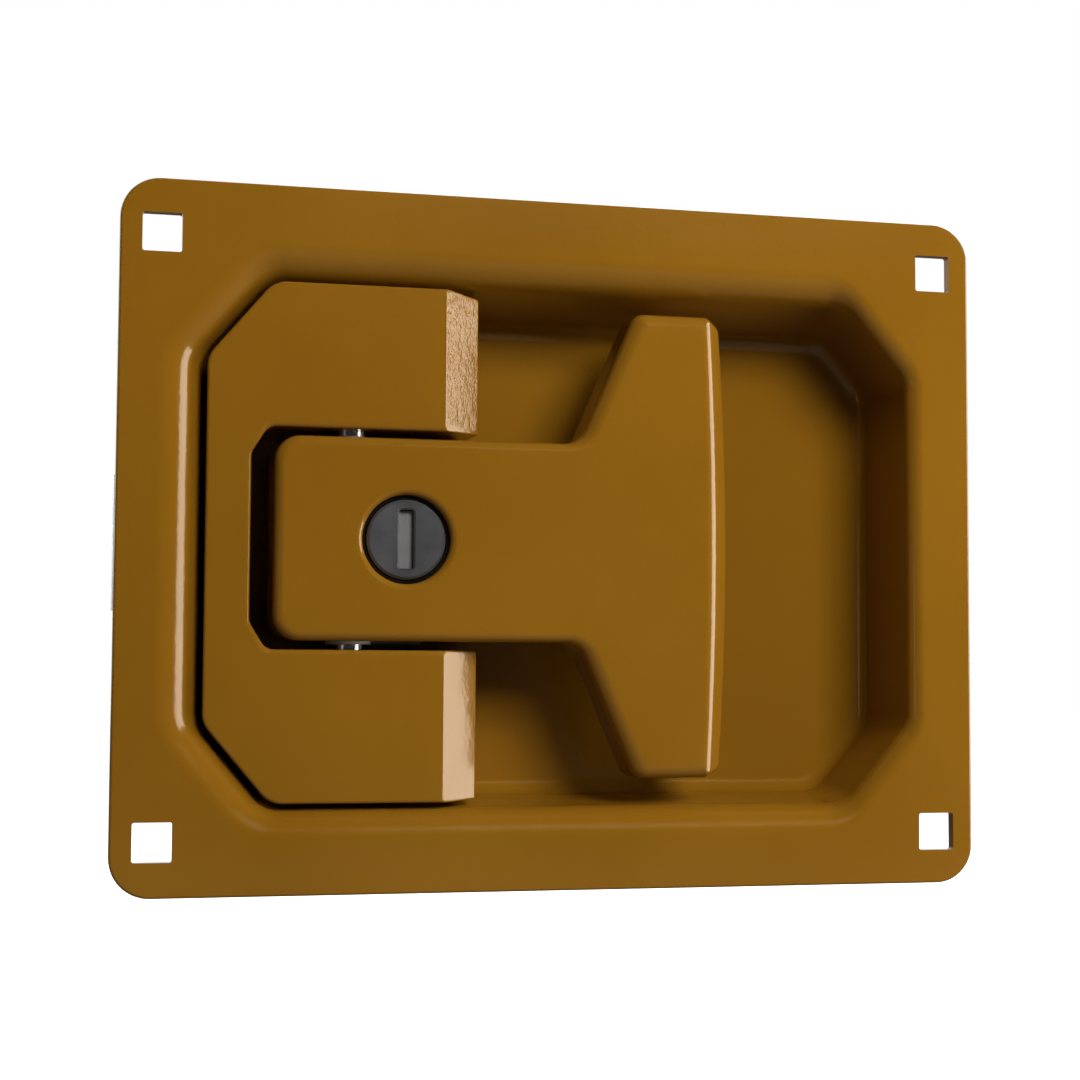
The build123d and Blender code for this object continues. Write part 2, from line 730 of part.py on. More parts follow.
# Keeper: a channel of folded sheet, welded to the floor and open towards the cylinder
keeper_back_z = -(slot_half_height - keeper_ear_gap)
keeper_lip_y = floor_front_y - 2 * keeper_sheet - keeper_gap
with BuildPart() as lock_keeper:
    with BuildSketch(Plane.YZ.offset(lock_x - keeper_width / 2)):
        with BuildLine():
            Polyline(
                (keeper_lip_y, keeper_back_z + keeper_reach),
                (keeper_lip_y, keeper_back_z),
                (floor_front_y, keeper_back_z),
                (floor_front_y, keeper_back_z + keeper_reach - keeper_sheet),
                (floor_front_y - keeper_sheet, keeper_back_z + keeper_reach - keeper_sheet),
                (floor_front_y - keeper_sheet, keeper_back_z + keeper_sheet),
                (keeper_lip_y + keeper_sheet, keeper_back_z + keeper_sheet),
                (keeper_lip_y + keeper_sheet, keeper_back_z + keeper_reach),
                close=True,
            )
        make_face()
    extrude(amount=keeper_width)
    bends = lock_keeper.edges().filter_by(Axis.X).group_by(Axis.Z)[0]
    fillet(bends.sort_by(Axis.Y)[0], keeper_sheet * 0.8)

# Lever: a folded plate under the stem with an arm down each side of the cylinder
with BuildPart() as release_lever:
    with BuildSketch(face_plane(stem_back_y)):
        with Locations((lever_plate_left_x, 0)):
            Rectangle(lever_plate_right_x - lever_plate_left_x, 2 * lever_outer_half, align=(Align.MIN, Align.CENTER))
    extrude(amount=-lever_sheet)
    for side in (1, -1):
        with BuildSketch(Plane.XY.offset(side * lever_inner_half)):
            with BuildLine():
                Polyline(
                    (lever_plate_left_x, stem_back_y),
                    (lever_plate_left_x, stem_back_y + lever_sheet),
                    (pivot_x - lever_arm_width / 2, lever_shoulder_y),
                    (pivot_x - lever_arm_width / 2, lever_tip_y),
                    (pivot_x + lever_arm_width / 2, lever_tip_y),
                    (pivot_x + lever_arm_width / 2, stem_back_y),
                    close=True,
                )
            make_face()
            with Locations((pivot_x, lever_tip_y)):
                Circle(lever_tip_radius)
        extrude(amount=side * lever_sheet)
    folds = release_lever.edges().filter_by(Axis.X).group_by(Axis.Y)[0].group_by(Axis.Z)
    fillet(folds[0] + folds[-1], lever_sheet * 0.5)
    with BuildSketch(face_plane(stem_back_y)):
        with Locations(*lever_post_places):
            Circle(lever_screw_radius + hole_clearance)
    extrude(amount=-lever_sheet, mode=Mode.SUBTRACT)

lever_screws = Compound(children=[
    screw(
        x, z, stem_back_y + lever_sheet, 1, lever_screw_radius,
        lever_sheet + lever_screw_grip - thread_clearance, lever_screw_head_radius, lever_screw_head_height,
    )
    for x, z in lever_post_places
])

# Slam bolt: bevelled on its inner side, with two windows for the lever and a bore for the spring
window_right_x = pivot_x + lever_tip_radius + bolt_window_play
window_left_x = pivot_x - lever_tip_radius - bolt_slam_room
with BuildPart() as latch_bolt:
    with BuildSketch(Plane.XY):
        with BuildLine():
            Polyline(
                (bolt_shoulder_x, bolt_front_y),
                (bolt_tip_x, bolt_front_y),
                (bolt_tip_x, bolt_front_y + bolt_tip_thickness),
                (bolt_tip_x + bolt_bevel_length, bolt_back_y),
                (bolt_shoulder_x, bolt_back_y),
                close=True,
            )
        make_face()
    extrude(amount=bolt_head_half_height, both=True)
    fillet(latch_bolt.edges().filter_by(Axis.Z).sort_by(Axis.X)[:2], bolt_edge_round)
    with BuildSketch(face_plane(bolt_front_y)):
        with Locations((bolt_shoulder_x, 0)):
            Rectangle(bolt_right_x - bolt_shoulder_x, 2 * bolt_half_height, align=(Align.MIN, Align.CENTER))
    extrude(amount=-bolt_thickness)
    chamfer(latch_bolt.edges().filter_by(Axis.Y).group_by(Axis.X)[-1], bolt_edge_round)
    back_edges = latch_bolt.edges().filter_by(Axis.X).group_by(Axis.Y)[-1].group_by(Axis.Z)
    chamfer(back_edges[0] + back_edges[-1], bolt_back_chamfer)
    with BuildSketch(face_plane(bolt_front_y)):
        with Locations(
            ((window_left_x + window_right_x) / 2, slot_z),
            ((window_left_x + window_right_x) / 2, -slot_z),
        ):
            RectangleRounded(
                window_right_x - window_left_x,
                lever_sheet + 2 * bolt_window_side_play,
                bolt_window_side_play * 0.8,
            )
    extrude(amount=-bolt_thickness, mode=Mode.SUBTRACT)
    with BuildSketch(Plane.YZ.offset(bolt_right_x)):
        with Locations((bolt_middle_y, 0)):
            Circle(bolt_bore_radius)
    extrude(amount=-bolt_bore_depth, mode=Mode.SUBTRACT)

# Housing: a folded channel with flanges on the pan, an end wall with the bolt's mouth, and an
# end wall that holds the spring's guide
flange_reach_z = housing_inner_half + housing_sheet + housing_flange_reach
with BuildPart() as latch_housing:
    with BuildSketch(Plane.YZ.offset(housing_left_x)):
        with Locations((floor_back_y, 0)):
            Rectangle(housing_sheet, 2 * flange_reach_z, align=(Align.MIN, Align.CENTER))
            Rectangle(housing_back_y - floor_back_y, 2 * (housing_inner_half + housing_sheet), align=(Align.MIN, Align.CENTER))
    extrude(amount=housing_right_x - housing_left_x)
    along = latch_housing.edges().filter_by(Axis.X)
    fillet(along.group_by(Axis.Y)[-1], housing_bend_radius + housing_sheet)
    along = latch_housing.edges().filter_by(Axis.X)
    inner_bend_z = housing_inner_half + housing_sheet
    corner = along.filter_by_position(Axis.Z, inner_bend_z - 0.01, inner_bend_z + 0.01)
    corner += along.filter_by_position(Axis.Z, -inner_bend_z - 0.01, 0.01 - inner_bend_z)
    fillet(corner.filter_by_position(Axis.Y, floor_back_y + housing_sheet - 0.01, floor_back_y + housing_sheet + 0.01), housing_bend_radius)
    with BuildSketch(Plane.YZ.offset(housing_left_x + housing_sheet)) as channel:
        with Locations((floor_back_y, 0)):
            Rectangle(housing_inner_y - floor_back_y, 2 * housing_inner_half, align=(Align.MIN, Align.CENTER))
        fillet(channel.vertices().group_by(Axis.X)[-1], housing_bend_radius)
    extrude(amount=housing_right_x - housing_left_x - 2 * housing_sheet, mode=Mode.SUBTRACT)
    with BuildSketch(Plane.YZ.offset(housing_left_x)):
        with Locations((floor_back_y, 0)):
            Rectangle(
                bolt_back_y + housing_head_play - floor_back_y,
                2 * (bolt_head_half_height + housing_head_play),
                align=(Align.MIN, Align.CENTER),
            )
    extrude(amount=housing_sheet, mode=Mode.SUBTRACT)
    with BuildSketch(Plane.YZ.offset(housing_right_x - housing_sheet)):
        with Locations((bolt_middle_y, 0)):
            Circle(rod_radius + hole_clearance)
    extrude(amount=housing_sheet, mode=Mode.SUBTRACT)
    with BuildSketch(face_plane(housing_inner_y)):
        with Locations((housing_window_left_x, 0)):
            RectangleRounded(housing_window_left, housing_window_height, housing_window_radius)
        with Locations((housing_window_right_x, 0)):
            RectangleRounded(housing_window_right, housing_window_small_height, housing_window_radius)
    extrude(amount=-housing_sheet, mode=Mode.SUBTRACT)
    with BuildSketch(face_plane(floor_back_y)):
        with Locations(*rivet_places):
            Circle(rivet_radius + hole_clearance)
    extrude(amount=-housing_sheet, mode=Mode.SUBTRACT)
    fillet(latch_housing.edges().filter_by(Axis.Y).filter_by(lambda edge: abs(edge.center().Z) > flange_reach_z - 0.1), housing_corner_radius)

# Rivets through the floor and the housing's flanges
rivet_stack = pan_sheet + housing_sheet
with BuildPart() as housing_rivets:
    with BuildSketch(face_plane(floor_front_y)):
        with Locations(*rivet_places):
            Circle(rivet_radius)
    extrude(amount=-rivet_stack)
    with BuildSketch(face_plane(floor_front_y)):
        with Locations(*rivet_places):
            Circle(rivet_head_radius)
    extrude(amount=rivet_head_height)
    with BuildSketch(face_plane(floor_back_y + housing_sheet)):
        with Locations(*rivet_places):
            Circle(rivet_head_radius)
    extrude(amount=-rivet_head_height)
    fillet(housing_rivets.edges().group_by(Axis.Y)[0], rivet_head_height * 0.8)
    fillet(housing_rivets.edges().group_by(Axis.Y)[-1], rivet_head_height * 0.8)

# Screws that hold the cover, driven from behind the pan
cover_screws = Compound(children=[
    screw(
        x, z, floor_back_y, 1, cover_screw_radius, pan_sheet + cover_screw_grip,
        cover_screw_head_radius, cover_screw_head_height,
    )
    for x, z in cover_screw_places
])

# Guide rod with its collar, held by a nut outside the housing's end wall
collar_x = housing_right_x - housing_sheet - rod_collar_thickness
bore_end_x = bolt_right_x - bolt_bore_depth
with BuildPart() as spring_guide_rod:
    with BuildSketch(Plane.YZ.offset(housing_right_x + rod_tail)):
        with Locations((bolt_middle_y, 0)):
            Circle(rod_radius)
    extrude(amount=-(rod_reach + rod_tail))
    with BuildSketch(Plane.YZ.offset(collar_x)):
        with Locations((bolt_middle_y, 0)):
            Circle(rod_collar_radius)
    extrude(amount=rod_collar_thickness)
    chamfer(spring_guide_rod.edges().group_by(Axis.X)[0], rod_radius * 0.3)
    chamfer(spring_guide_rod.edges().group_by(Axis.X)[-1], rod_radius * 0.2)

with BuildPart() as guide_rod_nut:
    with BuildSketch(Plane.YZ.offset(housing_right_x)):
        with Locations((bolt_middle_y, 0)):
            RegularPolygon(nut_flats / 2, 6, major_radius=False)
            Circle(rod_radius + thread_clearance, mode=Mode.SUBTRACT)
    extrude(amount=nut_thickness)


def helix_point(turn):
    """Point on the spring's middle line after a number of turns from its fixed end."""
    angle = 2 * math.pi * turn
    x = spring_start_x - turn * spring_pitch
    return Vector(x, bolt_middle_y + spring_radius * math.cos(angle), spring_radius * math.sin(angle))


def helix_heading(turn):
    """Direction of the spring's wire after a number of turns."""
    angle = 2 * math.pi * turn
    around = 2 * math.pi * spring_radius
    return Vector(-spring_pitch, -around * math.sin(angle), around * math.cos(angle)).normalized()


def half_turn_joint(start, end):
    """Point where the two arcs of a half turn meet, so that both leave the helix tangent."""
    chord = helix_point(end) - helix_point(start)
    headings = helix_heading(start) + helix_heading(end)
    spread = 2 * (1 - helix_heading(start).dot(helix_heading(end)))
    across = chord.dot(headings)
    reach = (math.sqrt(across**2 + spread * chord.dot(chord)) - across) / spread
    return (helix_point(start) + helix_heading(start) * reach + helix_point(end) - helix_heading(end) * reach) * 0.5


# Compression spring from the guide's collar to the bottom of the bolt's bore
spring_start_x = collar_x - spring_wire / 2 - spring_seat_gap
spring_end_x = bore_end_x + spring_wire / 2 + spring_seat_gap
spring_pitch = (spring_start_x - spring_end_x) / spring_turns
half_turns = [number / 2 for number in range(2 * spring_turns)]
with BuildPart() as bolt_spring:
    with BuildLine() as spring_line:
        Line(helix_point(0) - helix_heading(0) * spring_wire, helix_point(0))
        for turn in half_turns:
            joint = half_turn_joint(turn, turn + 0.5)
            TangentArc(helix_point(turn), joint, tangent=helix_heading(turn))
            TangentArc(joint, helix_point(turn + 0.5), tangent=-helix_heading(turn + 0.5), tangent_from_first=False)
        last = spring_turns
        Line(helix_point(last), helix_point(last) + helix_heading(last) * spring_wire)
    wire = spring_line.wires()[0]
    with BuildSketch(Plane(origin=wire @ 0, z_dir=wire % 0)):
        Circle(spring_wire / 2)
    sweep(path=wire)

# Least distance of the wire to itself, measured between points at least half a turn apart
samples_per_turn = 48
points = [helix_point(number / samples_per_turn) for number in range(spring_turns * samples_per_turn + 1)]
nearest = min(
    (points[i] - points[j]).length
    for i in range(len(points))
    for j in range(i + samples_per_turn // 2, min(len(points), i + 2 * samples_per_turn))
)
print("least gap of the spring to itself:", round(nearest - spring_wire, 3))
wire_section = math.pi * spring_wire**2 / 4
print("spring volume over section times length:", bolt_spring.part.volume / (wire.length * wire_section))

pieces = {
    "pan": pan.part,
    "hinge_cover": hinge_cover.part,
    "cover_screws": cover_screws,
    "hinge_pins": hinge_pins.part,
    "pivot_bushes": pivot_bushes.part,
    "handle_shell": handle_shell.part,
    "release_lever": release_lever.part,
    "lever_screws": lever_screws,
    "lock_barrel": lock_barrel.part,
    "barrel_clip": barrel_clip.part,
    "key_plug": key_plug.part,
    "plug_cap": plug_cap.part,
    "wafer_tumblers": wafer_tumblers.part,
    "key_shutter": key_shutter.part,
    "shutter_pin": shutter_pin.part,
    "lock_tongue": lock_tongue.part,
    "tongue_washer": tongue_washer.part,
    "tongue_screw": tongue_screw,
    "lock_keeper": lock_keeper.part,
    "latch_bolt": latch_bolt.part,
    "latch_housing": latch_housing.part,
    "housing_rivets": housing_rivets.part,
    "spring_guide_rod": spring_guide_rod.part,
    "guide_rod_nut": guide_rod_nut.part,
    "bolt_spring": bolt_spring.part,
}
for name, piece in pieces.items():
    piece.label = name
    export_step(piece, f"parts/{name}.step")
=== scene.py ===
import json
import math

import bmesh
import bpy
import numpy as np
from mathutils import Matrix, Vector
from mathutils.geometry import delaunay_2d_cdt


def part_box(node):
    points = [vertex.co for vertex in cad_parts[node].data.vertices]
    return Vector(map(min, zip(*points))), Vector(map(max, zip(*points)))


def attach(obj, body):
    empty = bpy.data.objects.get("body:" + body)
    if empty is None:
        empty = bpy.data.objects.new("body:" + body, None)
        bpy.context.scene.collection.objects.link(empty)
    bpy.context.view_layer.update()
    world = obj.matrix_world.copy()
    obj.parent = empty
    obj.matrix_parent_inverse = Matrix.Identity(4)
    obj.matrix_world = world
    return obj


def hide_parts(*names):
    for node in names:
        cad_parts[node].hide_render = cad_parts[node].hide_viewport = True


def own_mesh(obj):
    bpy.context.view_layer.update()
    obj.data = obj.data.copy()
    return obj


# Dressing of a flush door lock: ochre paint, plated steel and the studio round it.
# X runs right, Z up and Y into the door. Materials, lamps and camera are in metres. The shells are
# worked out in millimetres, the part's own units, and become metres where their meshes are made.

MM = 0.001

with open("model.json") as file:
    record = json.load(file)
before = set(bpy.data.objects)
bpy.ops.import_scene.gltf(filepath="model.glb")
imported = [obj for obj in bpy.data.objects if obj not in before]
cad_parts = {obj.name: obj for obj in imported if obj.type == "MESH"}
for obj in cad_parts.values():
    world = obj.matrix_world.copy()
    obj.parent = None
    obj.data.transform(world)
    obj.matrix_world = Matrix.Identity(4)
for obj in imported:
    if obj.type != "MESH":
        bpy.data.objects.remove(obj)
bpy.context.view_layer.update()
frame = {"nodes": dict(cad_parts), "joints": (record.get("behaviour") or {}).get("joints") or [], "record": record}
joints = {joint["name"]: joint for joint in frame["joints"]}


def box_mm(node):
    """Lowest and highest corner of a CAD node in millimetres."""
    return [[round(value / MM, 3) for value in corner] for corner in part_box(node)]


# Node trees, in short words

class Nodes:
    """The node tree of a material or a world, with helpers that add a node and join it to others."""

    def __init__(self, owner, output):
        owner.use_nodes = True
        self.tree = owner.node_tree
        self.tree.nodes.clear()
        self.out = self.node(output)

    def node(self, kind, **settings):
        """A shader node of a kind, with its settings."""
        made = self.tree.nodes.new("ShaderNode" + kind)
        for key, value in settings.items():
            setattr(made, key, value)
        return made

    def link(self, source, target):
        """A wire from an output to an input."""
        self.tree.links.new(source, target)

    def give(self, socket, value):
        """A colour or a number set on an input, or another node's output joined to it."""
        if isinstance(value, tuple):
            socket.default_value = (*value, 1.0)
        elif isinstance(value, (int, float)):
            socket.default_value = value
        else:
            self.link(value, socket)

    def spread(self, source, low, high, to_low=0.0, to_high=1.0):
        """Source between low and high, carried to another range in proportion and held inside it."""
        made = self.node("MapRange")
        for socket, value in zip(("From Min", "From Max", "To Min", "To Max"), (low, high, to_low, to_high)):
            made.inputs[socket].default_value = value
        self.link(source, made.inputs["Value"])
        return made.outputs["Result"]

    def seen(self, by_camera, by_others):
        """The surface or sky: rays of the camera meet one shader and all other rays another."""
        rays = self.node("LightPath")
        picked = self.node("MixShader")
        self.link(rays.outputs["Is Camera Ray"], picked.inputs["Fac"])
        self.link(by_others.outputs[0], picked.inputs[1])
        self.link(by_camera.outputs[0], picked.inputs[2])
        self.link(picked.outputs[0], self.out.inputs["Surface"])


class Finish(Nodes):
    """A material whose patterns follow the object's own coordinates."""

    def __init__(self, name):
        self.material = bpy.data.materials.new(name)
        super().__init__(self.material, "OutputMaterial")
        self.place = self.node("TexCoord").outputs["Object"]

    def stretched(self, sizes):
        """Object coordinates multiplied along X, Y and Z."""
        mapping = self.node("Mapping")
        mapping.inputs["Scale"].default_value = sizes
        self.link(self.place, mapping.inputs["Vector"])
        return mapping.outputs["Vector"]

    def noise(self, scale, detail, rough=0.5, vector=None):
        """Cloudy noise between 0 and 1."""
        made = self.node("TexNoise")
        made.inputs["Scale"].default_value = scale
        made.inputs["Detail"].default_value = detail
        made.inputs["Roughness"].default_value = rough
        self.link(vector or self.place, made.inputs["Vector"])
        return made.outputs["Fac"]

    def cells(self, scale):
        """Distance to the nearest of scattered points."""
        made = self.node("TexVoronoi")
        made.inputs["Scale"].default_value = scale
        self.link(self.place, made.inputs["Vector"])
        return made.outputs["Distance"]

    def times(self, first, second):
        """Product of two values."""
        made = self.node("Math", operation="MULTIPLY")
        self.give(made.inputs[0], first)
        self.give(made.inputs[1], second)
        return made.outputs[0]

    def blend(self, share, first, second):
        """Two colours mixed by a share; a colour mix takes them on its inputs 6 and 7."""
        made = self.node("Mix", data_type="RGBA")
        self.link(share, made.inputs["Factor"])
        self.give(made.inputs[6], first)
        self.give(made.inputs[7], second)
        return made.outputs[2]

    def bump(self, height, strength, distance, under=None):
        """A normal from a height, over another normal where one is given."""
        made = self.node("Bump")
        made.inputs["Strength"].default_value = strength
        made.inputs["Distance"].default_value = distance
        self.link(height, made.inputs["Height"])
        if under is not None:
            self.link(under, made.inputs["Normal"])
        return made.outputs["Normal"]

    def shader(self, colour, roughness, normal, **sockets):
        """The surface itself; further sockets are given by name, with _ for a space."""
        made = self.node("BsdfPrincipled")
        self.give(made.inputs["Base Color"], colour)
        self.give(made.inputs["Roughness"], roughness)
        self.link(normal, made.inputs["Normal"])
        for key, value in sockets.items():
            self.give(made.inputs[key.replace("_", " ")], value)
        self.link(made.outputs["BSDF"], self.out.inputs["Surface"])
        return self.material


# Ochre paint; the hatched skin on the cover's upper bevelled end fades in over these X and Z

light_ochre = (0.252, 0.1135, 0.0074)
deep_ochre = (0.226, 0.0995, 0.0058)
grime_brown = (0.13, 0.058, 0.004)
speck_brown = (0.08, 0.036, 0.006)
warm_gloss = (1.0, 0.86, 0.66)
hatch_left = (-0.0212, -0.0204)
hatch_low = (0.0195, 0.0205)


def ochre_paint(name, rough_end=False):
    """Glossy sprayed paint: two close ochres in clouds, fine grime, sparse specks and orange peel of
    two sizes; on the rough end the casting's hatched skin shows through, a noise drawn out along Z."""
    f = Finish(name)
    clouds = f.spread(f.noise(24.0, 4.0), 0.35, 0.65)
    colour = f.blend(clouds, deep_ochre, light_ochre)
    grime = f.spread(f.noise(420.0, 6.0, 0.7), 0.66, 0.8)
    colour = f.blend(f.times(grime, 0.2), colour, grime_brown)
    specks = f.spread(f.cells(340.0), 0.035, 0.02)
    colour = f.blend(f.times(specks, 0.5), colour, speck_brown)
    peel = f.bump(f.noise(1300.0, 2.0, 0.4), 0.05, 0.0004)
    peel = f.bump(f.noise(220.0, 2.0, 0.4), 0.025, 0.002, under=peel)
    if rough_end:
        along = f.node("SeparateXYZ")
        f.link(f.place, along.inputs[0])
        right_of = f.spread(along.outputs["X"], *hatch_left)
        above = f.spread(along.outputs["Z"], *hatch_low)
        hatch = f.noise(1.0, 3.0, 0.65, f.stretched((1000.0, 1000.0, 420.0)))
        height = f.times(f.spread(hatch, 0.35, 0.65), f.times(right_of, above))
        peel = f.bump(height, 0.4, 0.00016, under=peel)
    rough = f.spread(f.noise(160.0, 3.0), 0.3, 0.7, 0.11, 0.16)
    return f.shader(colour, rough, peel, Specular_IOR_Level=0.55, Specular_Tint=warm_gloss)


def plain_metal(name, colour, dark, rough, metal=1.0, streak=(1.0, 1.0, 1.0), grain=900.0, spots=0.3):
    """Metal between two tones in clouds, with small stains at 0.45 of the dark tone and a fine grain
    that is drawn out along the axis whose streak is small; the grain moves the roughness too."""
    f = Finish(name)
    tone = f.spread(f.noise(60.0, 4.0, 0.6), 0.3, 0.7)
    base = f.blend(tone, dark, colour)
    stains = f.spread(f.noise(260.0, 5.0, 0.7), 0.6, 0.78)
    base = f.blend(f.times(stains, spots), base, tuple(0.45 * part for part in dark))
    drawn = f.noise(grain, 3.0, 0.6, f.stretched(streak))
    normal = f.bump(drawn, 0.12, 0.0003)
    roughness = f.spread(drawn, 0.3, 0.7, rough - 0.06, rough + 0.08)
    return f.shader(base, roughness, normal, Metallic=metal)


cast_paint = ochre_paint("cast_paint", rough_end=True)
finishes = {
    "ochre_paint": ochre_paint("ochre_paint"),
    "zinc_plate": plain_metal(
        "zinc_plate", (0.62, 0.60, 0.52), (0.46, 0.45, 0.40), 0.38, streak=(0.25, 1.0, 1.0)
    ),
    "bright_steel": plain_metal("bright_steel", (0.66, 0.66, 0.66), (0.5, 0.5, 0.51), 0.25),
    "spring_steel": plain_metal("spring_steel", (0.34, 0.34, 0.35), (0.2, 0.2, 0.21), 0.35),
    "bolt_steel": plain_metal(
        "bolt_steel", (0.56, 0.56, 0.57), (0.38, 0.38, 0.39), 0.3, streak=(0.1, 1.0, 1.0), grain=1400.0
    ),
    "cap_steel": plain_metal(
        "cap_steel", (0.19, 0.19, 0.20), (0.075, 0.075, 0.08), 0.36,
        metal=0.5, streak=(1.0, 1.0, 0.12), grain=2600.0, spots=0.5,
    ),
    "shutter_steel": plain_metal(
        "shutter_steel", (0.36, 0.36, 0.37), (0.24, 0.24, 0.25), 0.36,
        metal=0.35, streak=(1.0, 1.0, 0.2), grain=2400.0,
    ),
    "brass": plain_metal("brass", (0.66, 0.46, 0.17), (0.48, 0.32, 0.11), 0.3),
    # Near-black zinc: the barrel's own dark metal, made darker still as painted shade for the shaded sunk ring
    # round the lock's cap
    "dark_zinc": plain_metal(
        "dark_zinc", (0.014, 0.011, 0.009), (0.007, 0.006, 0.005), 0.4, metal=0.2
    ),
    "nylon": plain_metal("nylon", (0.72, 0.70, 0.62), (0.62, 0.60, 0.52), 0.5, metal=0.0, spots=0.1),
}
for row in frame["record"]["subparts"]:
    mesh = frame["nodes"][row["node"]].data
    mesh.materials.clear()
    mesh.materials.append(finishes[row["material_slot"]])


# Outlines of the pressed and cast shells: closed rows of X and Z

def quarter_turn(steps):
    """Angles spread evenly over a quarter turn, both ends included."""
    return np.linspace(0.0, math.pi / 2, steps)


def moved(corners, out):
    """Polygon with side i moved outward by out[i]: each corner is where its two moved sides meet."""
    along = np.roll(corners, -1, axis=0) - corners
    normal = np.stack((along[:, 1], -along[:, 0]), axis=1)
    normal = normal / np.linalg.norm(normal, axis=1, keepdims=True)
    reach = (normal * corners).sum(axis=1) + out
    sides = np.stack((np.roll(normal, 1, axis=0), normal), axis=1)
    ends = np.stack((np.roll(reach, 1), reach), axis=1)
    return np.linalg.solve(sides, ends[..., None])[..., 0]


def rounded(corners, radii, steps, between):
    """Closed outline: each corner is an arc tangent to its two sides, whose middle lies radius over
    the sine of half the corner's angle from it, and each side has points evenly between two arcs."""
    back = np.roll(corners, 1, axis=0) - corners
    ahead = np.roll(corners, -1, axis=0) - corners
    back = back / np.linalg.norm(back, axis=1, keepdims=True)
    ahead = ahead / np.linalg.norm(ahead, axis=1, keepdims=True)
    half = np.arccos((back * ahead).sum(axis=1)) / 2
    inward = (back + ahead) / np.linalg.norm(back + ahead, axis=1, keepdims=True)
    centre = corners + inward * (radii / np.sin(half))[:, None]
    start = corners + back * (radii / np.tan(half))[:, None] - centre
    finish = corners + ahead * (radii / np.tan(half))[:, None] - centre
    first = np.arctan2(start[:, 1], start[:, 0])
    turn = (np.arctan2(finish[:, 1], finish[:, 0]) - first + math.pi) % (2 * math.pi) - math.pi
    angle = first[:, None] + turn[:, None] * np.linspace(0.0, 1.0, steps)
    arcs = centre[:, None] + radii[:, None, None] * np.stack((np.cos(angle), np.sin(angle)), axis=-1)
    leave = arcs[:, -1:]
    arrive = np.roll(arcs[:, :1], -1, axis=0)
    sides = leave + (arrive - leave) * np.linspace(0.0, 1.0, between + 2)[1:-1, None]
    return np.concatenate((arcs, sides), axis=1).reshape(-1, 2)


def by_side(values, steps, between):
    """One value per side carried to a rounded outline's points; it turns evenly round each corner."""
    values = np.asarray(values, float)
    before = np.roll(values, 1)
    arcs = before[:, None] + (values - before)[:, None] * np.linspace(0.0, 1.0, steps)
    sides = np.repeat(values[:, None], between, axis=1)
    return np.concatenate((arcs, sides), axis=1).reshape(-1)


def circle(x, z, radius, count=64):
    """Round outline: x + r cos a, z + r sin a."""
    angle = np.linspace(0.0, 2 * math.pi, count, endpoint=False)
    return np.stack((x + radius * np.cos(angle), z + radius * np.sin(angle)), axis=1)


def box_outline(x, z, width, height, radius, steps=5):
    """Rectangle with rounded corners about a middle."""
    w, h = width / 2, height / 2
    corners = np.array([(x + w, z - h), (x + w, z + h), (x - w, z + h), (x - w, z - h)])
    return rounded(corners, np.full(4, radius), steps, 1)


# Patches of surface: the points and the faces between them

def at(outline, depth):
    """Ring of an outline at a depth, which may differ from point to point."""
    return np.column_stack((outline[:, 0], np.broadcast_to(depth, len(outline)), outline[:, 1]))


def plan(ring):
    """Outline of a ring: its X and Z."""
    return ring[:, [0, 2]]


def skin(*rings):
    """Quads between each closed ring and the next."""
    points = np.array(rings)
    number = np.arange(points.shape[0] * points.shape[1]).reshape(points.shape[:2])
    after = np.roll(number, -1, axis=1)
    quads = np.stack((number[:-1], after[:-1], after[1:], number[1:]), axis=-1)
    return points.reshape(-1, 3), quads.reshape(-1, 4)


def flat(depth, *outlines):
    """Triangles at one depth inside the first outline and outside the others: of a Delaunay mesh on
    all the outlines, those whose middle lies inside an odd number of them."""
    points = np.concatenate(outlines)
    sizes = [len(outline) for outline in outlines]
    starts = np.concatenate(([0], np.cumsum(sizes)[:-1]))
    ahead = np.concatenate([first + (np.arange(size) + 1) % size for first, size in zip(starts, sizes)])
    edges = np.column_stack((np.arange(len(points)), ahead)).tolist()
    places, _, triangles, *_ = delaunay_2d_cdt([Vector(p) for p in points.tolist()], edges, [], 0, 1e-5)
    places, triangles = np.array([tuple(p) for p in places]), np.array(triangles)
    middle = places[triangles].mean(axis=1)[:, None]
    near, far = points[None], points[ahead][None]
    rise = far[..., 1] - near[..., 1]
    rise = np.where(rise == 0.0, 1.0, rise)
    crosses = (near[..., 1] > middle[..., 1]) != (far[..., 1] > middle[..., 1])
    meet = near[..., 0] + (far[..., 0] - near[..., 0]) * (middle[..., 1] - near[..., 1]) / rise
    inside = (crosses & (middle[..., 0] < meet)).sum(axis=1) % 2 == 1
    return at(places, depth), triangles[inside]


def prism(outline, front, back):
    """Straight side of an outline from one depth to another, with its two flat ends."""
    return [skin(at(outline, front), at(outline, back)), flat(front, outline), flat(back, outline)]


def block(x, z, half_width, half_height, front, back):
    """Block round a middle, given by its half width and half height, between two depths."""
    left, right = x - half_width, x + half_width
    low, high = z - half_height, z + half_height
    return prism(np.array([(left, low), (right, low), (right, high), (left, high)]), front, back)


def turned(profile, x, z, count=96):
    """Ring turned round an axis along Y through x and z: each corner of the closed profile, given as
    radius and depth, runs round a full circle."""
    return skin(*[at(circle(x, z, radius, count), depth) for radius, depth in [*profile, profile[0]]])


def upright(patches):
    """Patches made along Y set along Z: the Y and Z of each point change places."""
    return [(points[:, [0, 2, 1]], faces) for points, faces in patches]


# Pieces: patches joined to one closed mesh, smoothed, and set in place of a CAD node

join_within = 3e-6
shortest_edge = 1e-6


